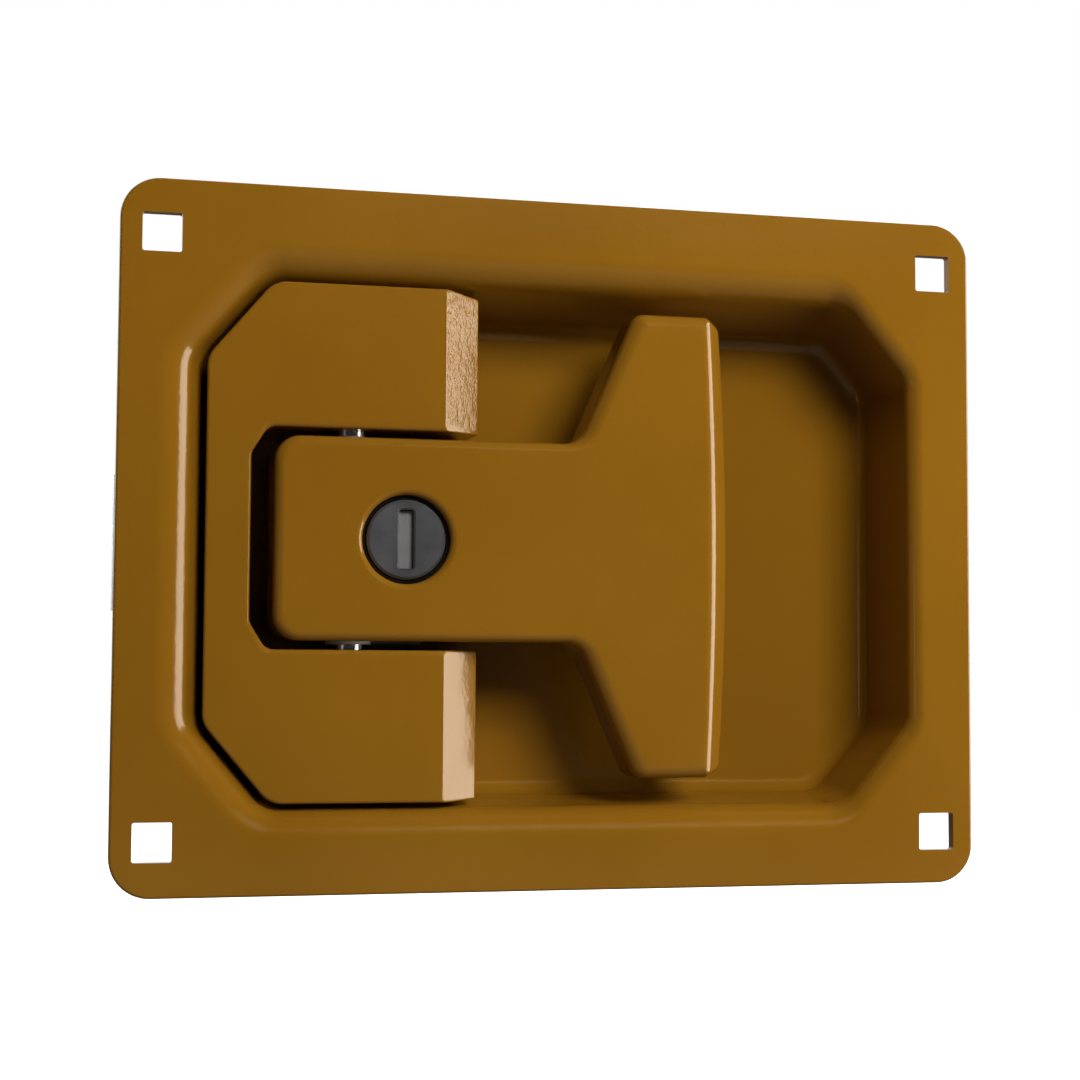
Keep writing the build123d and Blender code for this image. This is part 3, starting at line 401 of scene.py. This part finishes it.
def soften(mesh, limit=0.72):
    """Corner normals: at each face corner, the sum of area times normal of the faces that meet in its
    point and whose normals agree with the corner's own face by the limit or more."""
    corner_count, face_count = len(mesh.loops), len(mesh.polygons)
    point = np.empty(corner_count, np.int64)
    mesh.loops.foreach_get("vertex_index", point)
    sides = np.empty(face_count, np.int64)
    mesh.polygons.foreach_get("loop_total", sides)
    area = np.empty(face_count)
    mesh.polygons.foreach_get("area", area)
    normal = np.empty(face_count * 3)
    mesh.polygons.foreach_get("normal", normal)
    normal = normal.reshape(-1, 3)
    face = np.repeat(np.arange(face_count), sides)
    order = np.argsort(point, kind="stable")
    meeting = np.bincount(point, minlength=len(mesh.vertices))
    start = np.cumsum(meeting) - meeting
    pairs = meeting[point]
    first = np.repeat(np.arange(corner_count), pairs)
    within = np.arange(len(first)) - np.repeat(np.cumsum(pairs) - pairs, pairs)
    second = order[np.repeat(start[point], pairs) + within]
    agree = (normal[face[first]] * normal[face[second]]).sum(axis=1) > limit
    total = np.zeros((corner_count, 3))
    np.add.at(total, first[agree], (normal * area[:, None])[face[second[agree]]])
    total = total / np.linalg.norm(total, axis=1, keepdims=True)
    mesh.polygons.foreach_set("use_smooth", np.ones(face_count, bool))
    mesh.normals_split_custom_set(total.tolist())


def solid(name, patches):
    """Object of several patches: points that meet become one and faces are turned outward."""
    points, faces, count = [], [], 0
    for places, corners in patches:
        points.append(places * MM)
        faces += (corners + count).tolist()
        count += len(places)
    mesh = bpy.data.meshes.new(name)
    mesh.from_pydata(np.concatenate(points).tolist(), [], faces)
    net = bmesh.new()
    net.from_mesh(mesh)
    bmesh.ops.remove_doubles(net, verts=net.verts, dist=join_within)
    bmesh.ops.dissolve_degenerate(net, edges=net.edges, dist=shortest_edge)
    bmesh.ops.recalc_face_normals(net, faces=net.faces)
    net.to_mesh(mesh)
    net.free()
    made = bpy.data.objects.new(name, mesh)
    bpy.context.scene.collection.objects.link(made)
    return made


def bored(made, tool):
    """A piece with a tool's solid taken out of it for good."""
    cut = made.modifiers.new("bore", "BOOLEAN")
    cut.operation = "DIFFERENCE"
    cut.solver = "EXACT"
    cut.use_self = True
    cut.object = tool
    graph = bpy.context.evaluated_depsgraph_get()
    mesh = bpy.data.meshes.new_from_object(made.evaluated_get(graph))
    made.modifiers.clear()
    made.data = mesh
    bpy.data.objects.remove(tool)
    return made


def stand_in(made, node, body, slot, material=None):
    """A piece that rides on a body in place of a node; its finish is its slot's or one given."""
    soften(made.data)
    made.data.materials.append(material or finishes[slot])
    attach(made, body)
    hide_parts(node)
    return made


# Pan: flange, bend, leaning walls, bend and floor of one sheet, front and back

pan_low, pan_high = box_mm("pan")
sheet = 2.0
flange_front = pan_low[1]
floor_front = pan_high[1] - sheet
flange_width = pan_high[0] - pan_low[0]
flange_height = pan_high[2] - pan_low[2]
flange_corner = 6.8
flange_edge = 0.5

# Each wall of the recess leans in by its own measure from the mouth down to the floor
mouth_left, lean_left = -63.0, 3.2
mouth_right, lean_right = 65.0, 1.0
mouth_top, lean_top = 45.3, 4.6
mouth_bottom, lean_bottom = -46.1, 1.8

# Legs of the cuts across the recess's corners, and the shares that they lose down to the floor
cut_x, cut_z = 12.1, 14.4
upper_ease, lower_ease = 0.35, 0.15

# The mouth's bends start at the upper right cut and go on over the top and round to the right wall
mouth_bends = np.array([3.2, 4.8, 6.0, 7.0, 6.0, 4.6, 3.2, 2.6])
floor_bend = 2.6
recess_corner = 6.0
recess_steps, recess_between = 9, 5

# Openings: square fixing holes, the slots that the lever's arms pass, and holes of screws and rivets
fixing_places = [(x, z) for x in (-69.5, 69.5) for z in (-50.8, 50.8)]
fixing_size, fixing_corner = 6.6, 0.4
lever_slot_places = [(-30.7, z) for z in (-10.45, 10.45)]
lever_slot_length, lever_slot_width, lever_slot_corner = 18.0, 4.2, 1.2
screw_places = [(x, z) for x in (-46.0, -25.5) for z in (-33.5, 33.5)]
rivet_places = [(x, z) for x in (-52.0, -36.0, -21.0) for z in (-25.0, 25.0)]
floor_hole_radius = 2.15


def recess_corners(depth):
    """Eight corners of the recess at a depth: walls and corner cuts move in proportion to the depth."""
    share = (depth - flange_front) / (floor_front - flange_front)
    left, right = mouth_left + lean_left * share, mouth_right - lean_right * share
    top, bottom = mouth_top - lean_top * share, mouth_bottom + lean_bottom * share
    upper_x, upper_z = cut_x * (1 - upper_ease * share), cut_z * (1 - upper_ease * share)
    lower_x, lower_z = cut_x * (1 - lower_ease * share), cut_z * (1 - lower_ease * share)
    return np.array([
        (right, top - upper_z), (right - upper_x, top),
        (left + upper_x, top), (left, top - upper_z),
        (left, bottom + lower_z), (left + lower_x, bottom),
        (right - lower_x, bottom), (right, bottom + lower_z),
    ])


def recess(depths, grows):
    """Rounded ring of the recess with a depth and an outward growth for each of its eight sides: a
    side leans by its whole lean times its share of the pan's depth."""
    share = np.clip((depths - flange_front) / (floor_front - flange_front), 0.0, 1.0)
    mouth, foot = recess_corners(flange_front), recess_corners(floor_front)
    along = np.roll(mouth, -1, axis=0) - mouth
    normal = np.stack((along[:, 1], -along[:, 0]), axis=1) / np.linalg.norm(along, axis=1, keepdims=True)
    lean = (normal * (foot - mouth)).sum(axis=1)
    radii = np.maximum(recess_corner + (grows + np.roll(grows, 1)) / 2, 1.0)
    outline = rounded(moved(mouth, lean * share + grows), radii, recess_steps, recess_between)
    return at(outline, by_side(depths, recess_steps, recess_between))


def pan_rings(back):
    """Rings from flange to floor: the mouth's bend turns round a line outside the wall, the floor's
    bend round a line inside it, and the back lies one sheet further from both."""
    turn = quarter_turn(9)
    rings = []
    for a in turn:
        depths = flange_front + mouth_bends - (mouth_bends - back) * math.cos(a)
        rings.append(recess(depths, mouth_bends - (mouth_bends - back) * math.sin(a)))
    for a in turn:
        depth = floor_front - floor_bend + (floor_bend + back) * math.sin(a)
        rings.append(recess(np.full(8, depth), np.full(8, (floor_bend + back) * math.cos(a) - floor_bend)))
    return rings


def flange_rim(inset):
    """Outline of the flange, drawn in all round."""
    return box_outline(
        0.0, 0.0, flange_width - 2 * inset, flange_height - 2 * inset, flange_corner - inset, steps=16
    )


def pan_patches():
    """Front and back of the sheet from flange to floor, each with its two flats, then the flange's
    rim, whose front edge is a quarter turn, and the sides of all the openings."""
    flange_holes = [box_outline(x, z, fixing_size, fixing_size, fixing_corner) for x, z in fixing_places]
    floor_holes = [
        box_outline(x, z, lever_slot_length, lever_slot_width, lever_slot_corner)
        for x, z in lever_slot_places
    ]
    floor_holes += [circle(x, z, floor_hole_radius, 32) for x, z in screw_places + rivet_places]
    patches = []
    for back, inset in ((0.0, flange_edge), (sheet, 0.0)):
        rings = pan_rings(back)
        patches.append(skin(*rings))
        patches.append(flat(floor_front + back, plan(rings[-1]), *floor_holes))
        patches.append(flat(flange_front + back, flange_rim(inset), plan(rings[0]), *flange_holes))
    rim_rings = []
    for a in quarter_turn(5):
        rim = flange_rim(flange_edge * (1 - math.sin(a)))
        rim_rings.append(at(rim, flange_front + flange_edge * (1 - math.cos(a))))
    rim_rings.append(at(rim, flange_front + sheet))
    patches.append(skin(*rim_rings))
    for front, holes in ((flange_front, flange_holes), (floor_front, floor_holes)):
        patches += [skin(at(hole, front), at(hole, front + sheet)) for hole in holes]
    return patches


stand_in(solid("pressed_pan", pan_patches()), "pan", "frame", "ochre_paint")


# Cover: a C-shaped casting with bevelled ends, hollow behind, with four screw bosses

cover_low, cover_high = box_mm("hinge_cover")
floor_gap = 0.1
cover_face = cover_low[1]
cover_back = cover_high[1] - floor_gap
cover_end = -14.2
cover_gap = 1.1
cover_wall = 2.4
cover_edge, slot_edge = 0.6, 0.96
cover_bevel_width, cover_bevel_depth = 6.6, 4.4
cover_corner, end_corner = 4.6, 0.35
cover_steps, cover_between = 7, 4
slot_half, slot_left = 18.9, -54.0
slot_cut_x, slot_cut_z, slot_corner = 2.8, 4.6, 2.5

# Sides of its outline, counted from the top: the two bevelled ends, and those along the slot
end_sides, slot_sides = [5, 11], [6, 7, 8, 9, 10]

# The bevel's foot is eased by rings at these depths past it, the ends drawn in by so much
bevel_foot = ((-0.25, -0.3), (0.0, -0.08), (0.3, 0.0))

# The outer side draws in near the floor, to clear the pan's bend, and ends in a narrow foot
draw_in_depth, draw_in = 16.0, 2.3
foot_width = 2.0
inner_foot_depth = 15.0

# Behind the bevelled ends the hollow slopes in from this depth up to its ceiling
end_slope_depth, end_slope = 6.0, 6.2

boss_radius, boss_sunk = 4.0, 0.8


def cover_ring(depth, outer, ends, slot):
    """Ring of the cover at a depth, its outer sides, two ends and slot moved outward by these."""
    wall = moved(recess_corners(depth), np.full(8, -cover_gap))
    corners = np.array([
        (cover_end, wall[1, 1]), *wall[2:6], (cover_end, wall[6, 1]),
        (cover_end, -slot_half), (slot_left + slot_cut_x, -slot_half), (slot_left, slot_cut_z - slot_half),
        (slot_left, slot_half - slot_cut_z), (slot_left + slot_cut_x, slot_half), (cover_end, slot_half),
    ])
    out = np.full(12, outer)
    out[end_sides] = ends
    out[slot_sides] = slot
    radii = np.array([
        end_corner, *[cover_corner] * 4, end_corner, end_corner, *[slot_corner + slot] * 4, end_corner,
    ])
    outline = rounded(moved(corners, out), np.maximum(radii, 0.3), cover_steps, cover_between)
    return at(outline, depth)


def cover_patches():
    """Rings from the face over its edges, a quarter turn, down the bevel and the sides to the foot,
    then up inside the hollow to its ceiling, with the two flats and the bosses of the screws."""
    slope = cover_bevel_width / cover_bevel_depth
    rings = []
    for a in quarter_turn(6):
        down, inset = cover_edge * (1 - math.cos(a)), math.sin(a) - 1
        ends = down * slope - cover_bevel_width
        rings.append(cover_ring(cover_face + down, cover_edge * inset, ends, slot_edge * inset))
    for past, ends in bevel_foot:
        rings.append(cover_ring(cover_face + cover_bevel_depth + past, 0.0, ends, 0.0))
    ceiling = cover_face + cover_wall
    rings.append(cover_ring(draw_in_depth, 0.0, 0.0, 0.0))
    rings.append(cover_ring(cover_back, -draw_in, 0.0, 0.0))
    rings.append(cover_ring(cover_back, -draw_in - foot_width, -cover_wall, -cover_wall))
    rings.append(cover_ring(inner_foot_depth, -cover_wall, -cover_wall, -cover_wall))
    rings.append(cover_ring(end_slope_depth, -cover_wall, -cover_wall, -cover_wall))
    rings.append(cover_ring(ceiling, -cover_wall, -end_slope, -cover_wall))
    patches = [skin(*rings), flat(cover_face, plan(rings[0])), flat(ceiling, plan(rings[-1]))]
    for x, z in screw_places:
        patches += prism(circle(x, z, boss_radius, 40), ceiling - boss_sunk, cover_back)
    return patches


stand_in(solid("cast_cover", cover_patches()), "hinge_cover", "frame", "ochre_paint", cast_paint)


# T-handle: a hollow casting, softly rounded, with a slanting facet along the grip

handle_low, handle_high = box_mm("handle_shell")
pivot_x, pivot_y, _ = (round(value / MM, 3) for value in joints["handle_pivot"]["pos_m"])
lock_x = round(joints["key_turn"]["pos_m"][0] / MM, 3)
handle_face = handle_low[1]
handle_wall = 2.8
handle_inner = handle_face + handle_wall
bar_back, stem_back = 6.4, 8.4
step_left, step_right = -14.2, -12.6

# The T's sides start with the grip and go on over the upper end of the bar and round the stem;
# handle_bends is -1 at its two inner corners
grip_x, bar_x, neck_x = 29.2, 13.0, 2.9
stem_x = handle_low[0]
bar_half = handle_high[2]
stem_half = 17.4
handle_corners = np.array([
    (grip_x, -bar_half), (grip_x, bar_half), (bar_x, bar_half), (neck_x, stem_half),
    (stem_x, stem_half), (stem_x, -stem_half), (neck_x, -stem_half), (bar_x, -bar_half),
])
handle_radii = np.array([2.4, 2.4, 2.6, 4.2, 4.4, 4.4, 4.2, 2.6])
handle_bends = np.array([1, 1, 1, -1, 1, 1, -1, 1])
handle_steps, handle_between = 9, 14
edge_rounds = np.array([2.6, 2.2, 2.6, 1.7, 1.7, 1.7, 2.6, 2.2])

# Right of bow_start the T bows out with its grip; behind it the wall is thicker
grip_bow, bow_start = 1.5, 20.0
grip_facet, grip_facet_depth = 3.0, 3.6
grip_thicker = 2.6

# Two rings ease the facet's foot: the grip's outward move, its depth past the foot and the depth of
# the other sides below the face
facet_foot = ((-0.25, -0.3, 4.6), (0.0, 0.5, 5.4))

# Round mouth of the lock, the seat of its head, the bore and the boss round it
mouth_radius, mouth_round, seat_depth = 7.6, 1.2, 1.0
bore_radius, boss_outer = 7.25, 10.4

# Posts for the lever's screws, sunk into the ceiling and a little shorter than the stem's rim
post_x, post_z, post_radius = -44.0, 6.0, 3.2
post_sunk, post_short = 1.0, 0.02

# Ribs under the bar, from wall to wall of its hollow
rib_places = (-27.0, -9.0, 9.0, 27.0)
rib_middle, rib_half_width, rib_half_height, rib_depth = 17.1, 8.5, 0.9, 4.6

# Hubs round the hinge's bushes, the blocks that carry them, and the bores through the stem's walls
hub_inner, hub_outer = 3.6, 5.0
hub_start, hub_end = 12.4, 15.6
hub_block_half, hub_block_back, hub_block_end = 4.4, 2.3, 15.2
pin_bore_radius, pin_bore_start, pin_bore_end = 3.5, 14.0, 18.6

# How far ribs and blocks are sunk into the ceiling
foot_sunk = 0.6


def handle_outline(out):
    """T outline with its sides moved; the grip's side bows by a parabola over its height."""
    near = (np.roll(out, 1) + out) / 2
    radii = np.maximum(handle_radii + handle_bends * near, 0.4)
    outline = rounded(moved(handle_corners, out), radii, handle_steps, handle_between)
    bulge = grip_bow * (1 - (outline[:, 1] / bar_half) ** 2)
    outline[:, 0] += bulge * np.clip((outline[:, 0] - bow_start) / (grip_x - bow_start), 0.0, 1.0)
    return outline


def handle_ring(out, depth):
    """Ring of the T with an outward move and a depth for each of its eight sides."""
    return at(handle_outline(out), by_side(depth, handle_steps, handle_between))


def handle_rings():
    """Rings over the edge, down the side, over the rim and up inside to the ceiling: the edge is a
    quarter turn of each side's radius, and the grip's turns only to the facet's slant."""
    slant = math.atan2(grip_facet, grip_facet_depth)
    grip_round = edge_rounds[0]
    facet_start = -grip_facet - grip_round * (1 - math.sin(slant)) / math.cos(slant)
    rings = []
    for share in np.linspace(0.0, 1.0, 8):
        a, grip_turn = share * math.pi / 2, share * (math.pi / 2 - slant)
        out = edge_rounds * (math.sin(a) - 1)
        depth = handle_face + edge_rounds * (1 - math.cos(a))
        out[0] = facet_start + grip_round * math.sin(grip_turn)
        depth[0] = handle_face + grip_round * (1 - math.cos(grip_turn))
        rings.append(handle_ring(out, depth))
    for outward, past, others in facet_foot:
        out, depth = np.zeros(8), np.full(8, handle_face + others)
        out[0], depth[0] = outward, handle_face + grip_facet_depth + past
        rings.append(handle_ring(out, depth))
    for inset in (0.0, handle_wall):
        outline = handle_outline(np.full(8, -inset))
        rings.append(at(outline, np.interp(outline[:, 0], (step_left, step_right), (stem_back, bar_back))))
    inner = np.full(8, -handle_wall)
    inner[0] -= grip_thicker
    rings.append(handle_ring(inner, np.full(8, handle_inner)))
    return rings


def handle_patches():
    """Shell of the T joined at face and ceiling to the lock's bore, with posts, ribs and hubs."""
    rings = handle_rings()
    bore = [
        (mouth_radius + mouth_round * (1 - math.sin(a)), handle_face + mouth_round * (1 - math.cos(a)))
        for a in quarter_turn(7)
    ]
    bore += [
        (mouth_radius, seat_depth), (bore_radius, seat_depth), (bore_radius, stem_back),
        (boss_outer, stem_back), (boss_outer, handle_inner),
    ]
    bore_rings = [at(circle(lock_x, 0.0, radius, 96), depth) for radius, depth in bore]
    patches = [skin(*rings), skin(*bore_rings)]
    patches.append(flat(handle_face, plan(rings[0]), plan(bore_rings[0])))
    patches.append(flat(handle_inner, plan(rings[-1]), plan(bore_rings[-1])))
    for z in (-post_z, post_z):
        post = circle(post_x, z, post_radius, 40)
        patches += prism(post, handle_inner - post_sunk, stem_back - post_short)
    front = handle_inner - foot_sunk
    for z in rib_places:
        patches += block(rib_middle, z, rib_half_width, rib_half_height, front, handle_inner + rib_depth)
    half_height = (hub_block_end - hub_start) / 2
    for side in (1.0, -1.0):
        hub = [
            (hub_inner, hub_start * side), (hub_outer, hub_start * side),
            (hub_outer, hub_end * side), (hub_inner, hub_end * side),
        ]
        patches += upright([turned(hub, pivot_x, pivot_y, 64)])
        z = side * (hub_start + hub_block_end) / 2
        patches += block(pivot_x, z, hub_block_half, half_height, front, hub_block_back)
    return patches


def pin_bores():
    """Two round plugs where the pins' bushes pass the stem's side walls."""
    outline = circle(pivot_x, pivot_y, pin_bore_radius)
    patches = prism(outline, pin_bore_start, pin_bore_end) + prism(outline, -pin_bore_end, -pin_bore_start)
    return solid("pin_bores", upright(patches))


handle = bored(solid("cast_handle", handle_patches()), pin_bores())
stand_in(handle, "handle_shell", "handle", "ochre_paint")


# Lock barrel: a turned sleeve with a bevelled head, a recess for the cap and a groove for the clip

barrel_low, barrel_high = box_mm("lock_barrel")
barrel_front, barrel_end = barrel_low[1], barrel_high[1]
barrel_bore, barrel_radius, barrel_bevel = 6.25, 7.2, 0.3
head_radius, head_bevel = 7.5, 0.22
cap_recess_radius, cap_recess_depth = 7.1, -0.15
groove_radius, groove_start, groove_end = 6.5, stem_back, stem_back + 1.0

barrel_profile = [
    (barrel_bore, cap_recess_depth), (cap_recess_radius, cap_recess_depth),
    (cap_recess_radius, barrel_front), (head_radius - head_bevel, barrel_front),
    (head_radius, barrel_front + head_bevel), (head_radius, seat_depth),
    (barrel_radius, seat_depth), (barrel_radius, groove_start),
    (groove_radius, groove_start), (groove_radius, groove_end),
    (barrel_radius, groove_end), (barrel_radius, barrel_end - barrel_bevel),
    (barrel_radius - barrel_bevel, barrel_end), (barrel_bore, barrel_end),
]
barrel = solid("turned_barrel", [turned(barrel_profile, lock_x, 0.0)])
# The barrel's head shows as the dark ring round the cap; its near-black finish is partly its own dark metal and
# partly painted shade
stand_in(barrel, "lock_barrel", "handle", "dark_zinc")


# Hinge bushes: two flanged sleeves round the pins

bush_bore, bush_radius, bush_flange = 2.55, 3.45, 3.9
bush_start, bush_flange_start, bush_end = hub_start, 17.4, 17.9

bush_patches = []
for side in (1.0, -1.0):
    bush = [
        (bush_bore, bush_start * side), (bush_radius, bush_start * side),
        (bush_radius, bush_flange_start * side), (bush_flange, bush_flange_start * side),
        (bush_flange, bush_end * side), (bush_bore, bush_end * side),
    ]
    bush_patches += upright([turned(bush, pivot_x, pivot_y, 64)])
stand_in(solid("hinge_bushes", bush_patches), "pivot_bushes", "handle", "nylon")


# Spring of the bolt: a round wire on a helix whose end turns lie close

spring_low, spring_high = box_mm("bolt_spring")
spring_middle = (spring_low[1] + spring_high[1]) / 2
spring_wire, spring_radius, spring_turns = 1.2, 3.35, 9
spring_end_gap, close_pitch = 0.1, 0.4
rings_per_turn, wire_sides = 28, 14


def coil_patches():
    """Wire on the helix y = middle + R cos a, z = R sin a, whose pitch falls over the first and last
    turn to the close one's share; each ring of the wire lies square to the helix's heading, and the
    end rings shrink to a point."""
    turn = np.linspace(0.0, spring_turns, spring_turns * rings_per_turn + 1)
    pace = close_pitch + (1 - close_pitch) * np.clip(np.minimum(turn, spring_turns - turn), 0.0, 1.0)
    travel = np.concatenate(([0.0], np.cumsum((pace[1:] + pace[:-1]) / 2)))
    inside = spring_wire / 2 + spring_end_gap
    first, last = spring_high[0] - inside, spring_low[0] + inside
    along = first + (last - first) * travel / travel[-1]
    angle = 2 * math.pi * turn
    outward = np.stack((np.zeros_like(angle), np.cos(angle), np.sin(angle)), axis=1)
    path = np.stack((along, np.full_like(along, spring_middle), np.zeros_like(along)), axis=1)
    path = path + spring_radius * outward
    heading = np.gradient(path, axis=0)
    heading = heading / np.linalg.norm(heading, axis=1, keepdims=True)
    across = np.cross(heading, outward)
    wire = np.linspace(0.0, 2 * math.pi, wire_sides, endpoint=False)[:, None]
    size = np.full(len(turn), spring_wire / 2)
    size[[0, -1]] = 0.0
    spokes = outward[:, None] * np.cos(wire) + across[:, None] * np.sin(wire)
    return [skin(*(path[:, None] + spokes * size[:, None, None]))]


coil = stand_in(solid("coil_spring", coil_patches()), "bolt_spring", "frame", "spring_steel")
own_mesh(coil)


# Lamps of the studio: a big soft one at the upper right, one at the right, the others weak or behind

def unit(vector):
    """Vector of length one in the same direction."""
    return np.asarray(vector) / np.linalg.norm(vector)


def stand(made, place, right, forward):
    """A lamp or camera set at a place: its X is right, its Y up, and it looks along forward."""
    up = np.cross(right, forward)
    rows = np.column_stack((right, up, -forward, place)).tolist()
    made.matrix_world = Matrix([*rows, [0.0, 0.0, 0.0, 1.0]])
    bpy.context.scene.collection.objects.link(made)
    return made


def lamp(name, azimuth, height, distance, size, strength, colour=(1.0, 1.0, 1.0)):
    """Rectangular soft lamp turned to the lock's middle, at angles right of the front axis and above
    the level; its power is its strength times pi times its area."""
    a, h = math.radians(azimuth), math.radians(height)
    place = distance * np.array((math.sin(a) * math.cos(h), -math.cos(a) * math.cos(h), math.sin(h)))
    data = bpy.data.lights.new(name, "AREA")
    data.shape = "RECTANGLE"
    data.size, data.size_y = size
    data.energy = strength * math.pi * size[0] * size[1]
    data.color = colour
    forward = unit(-place)
    right = unit(np.cross(forward, (0.0, 0.0, 1.0)))
    return stand(bpy.data.objects.new(name, data), place, right, forward)


key_lamp = lamp("key_lamp", 20.0, 29.0, 0.62, (0.28, 0.23), 18.8, (1.0, 0.97, 0.92))
key_lamp.visible_glossy = False
lamp("side_lamp", 75.0, 3.0, 0.44, (0.26, 0.25), 7.0, (1.0, 0.98, 0.96))
lamp("low_lamp", -54.0, -8.0, 0.6, (0.05, 0.24), 1.4, (1.0, 0.96, 0.9))
lamp("back_lamp", 150.0, 40.0, 0.8, (0.6, 0.5), 5.0)
lamp("back_fill", -130.0, 20.0, 0.8, (0.5, 0.5), 2.5)


# Sky: white for the camera; other rays find it dim in front of the lock and bright behind it

dim_sky, bright_sky = 0.025, 0.85
dim_until, bright_from = -0.25, 0.45

world = bpy.data.worlds.new("studio")
bpy.context.scene.world = world
sky = Nodes(world, "OutputWorld")
split = sky.node("SeparateXYZ")
sky.link(sky.node("TexCoord").outputs["Generated"], split.inputs[0])
shade = sky.node("Background")
shade.inputs["Color"].default_value = (1.0, 1.0, 1.0, 1.0)
strength = sky.spread(split.outputs["Y"], dim_until, bright_from, dim_sky, bright_sky)
sky.link(strength, shade.inputs["Strength"])
white = sky.node("Background")
white.inputs["Color"].default_value = (1.0, 1.0, 1.0, 1.0)
sky.seen(by_camera=white, by_others=shade)


# Floor: pale for the camera, with the lock's shadow, and dull for all other rays

floor_height = -0.115
floor_half = 4.0
floor_glow = 0.75
pale_grey, dull_grey = (0.8, 0.8, 0.8), (0.12, 0.12, 0.12)

floor_mesh = bpy.data.meshes.new("floor")
floor_mesh.from_pydata([
    (-floor_half, -floor_half, floor_height), (floor_half, -floor_half, floor_height),
    (floor_half, floor_half, floor_height), (-floor_half, floor_half, floor_height),
], [], [(0, 1, 2, 3)])
floor = bpy.data.objects.new("floor", floor_mesh)
bpy.context.scene.collection.objects.link(floor)
pale = Finish("pale_floor")
lit = pale.node("BsdfDiffuse")
pale.give(lit.inputs["Color"], pale_grey)
glow = pale.node("Emission")
glow.inputs["Strength"].default_value = floor_glow
added = pale.node("AddShader")
pale.link(lit.outputs[0], added.inputs[0])
pale.link(glow.outputs[0], added.inputs[1])
dull = pale.node("BsdfDiffuse")
pale.give(dull.inputs["Color"], dull_grey)
pale.seen(by_camera=added, by_others=dull)
floor_mesh.materials.append(pale.material)


# Camera: a little left of the middle, looking slightly to the right and up

picture_side, focal_length = 1080.0, 2000.0
camera_data = bpy.data.cameras.new("camera")
camera_data.sensor_width = 36.0
camera_data.lens = camera_data.sensor_width * focal_length / picture_side
camera_data.clip_start = 0.01
camera_data.clip_end = 20.0
right = unit((0.97233, -0.23357, 0.00514))
forward = np.array((0.23276, 0.97037, 0.06493))
forward = unit(forward - right * (forward @ right))
place = (-0.08497, -0.3385, -0.02216)
camera = stand(bpy.data.objects.new("camera", camera_data), place, right, forward)
bpy.context.scene.camera = camera
bpy.context.scene.view_settings.view_transform = "Standard"
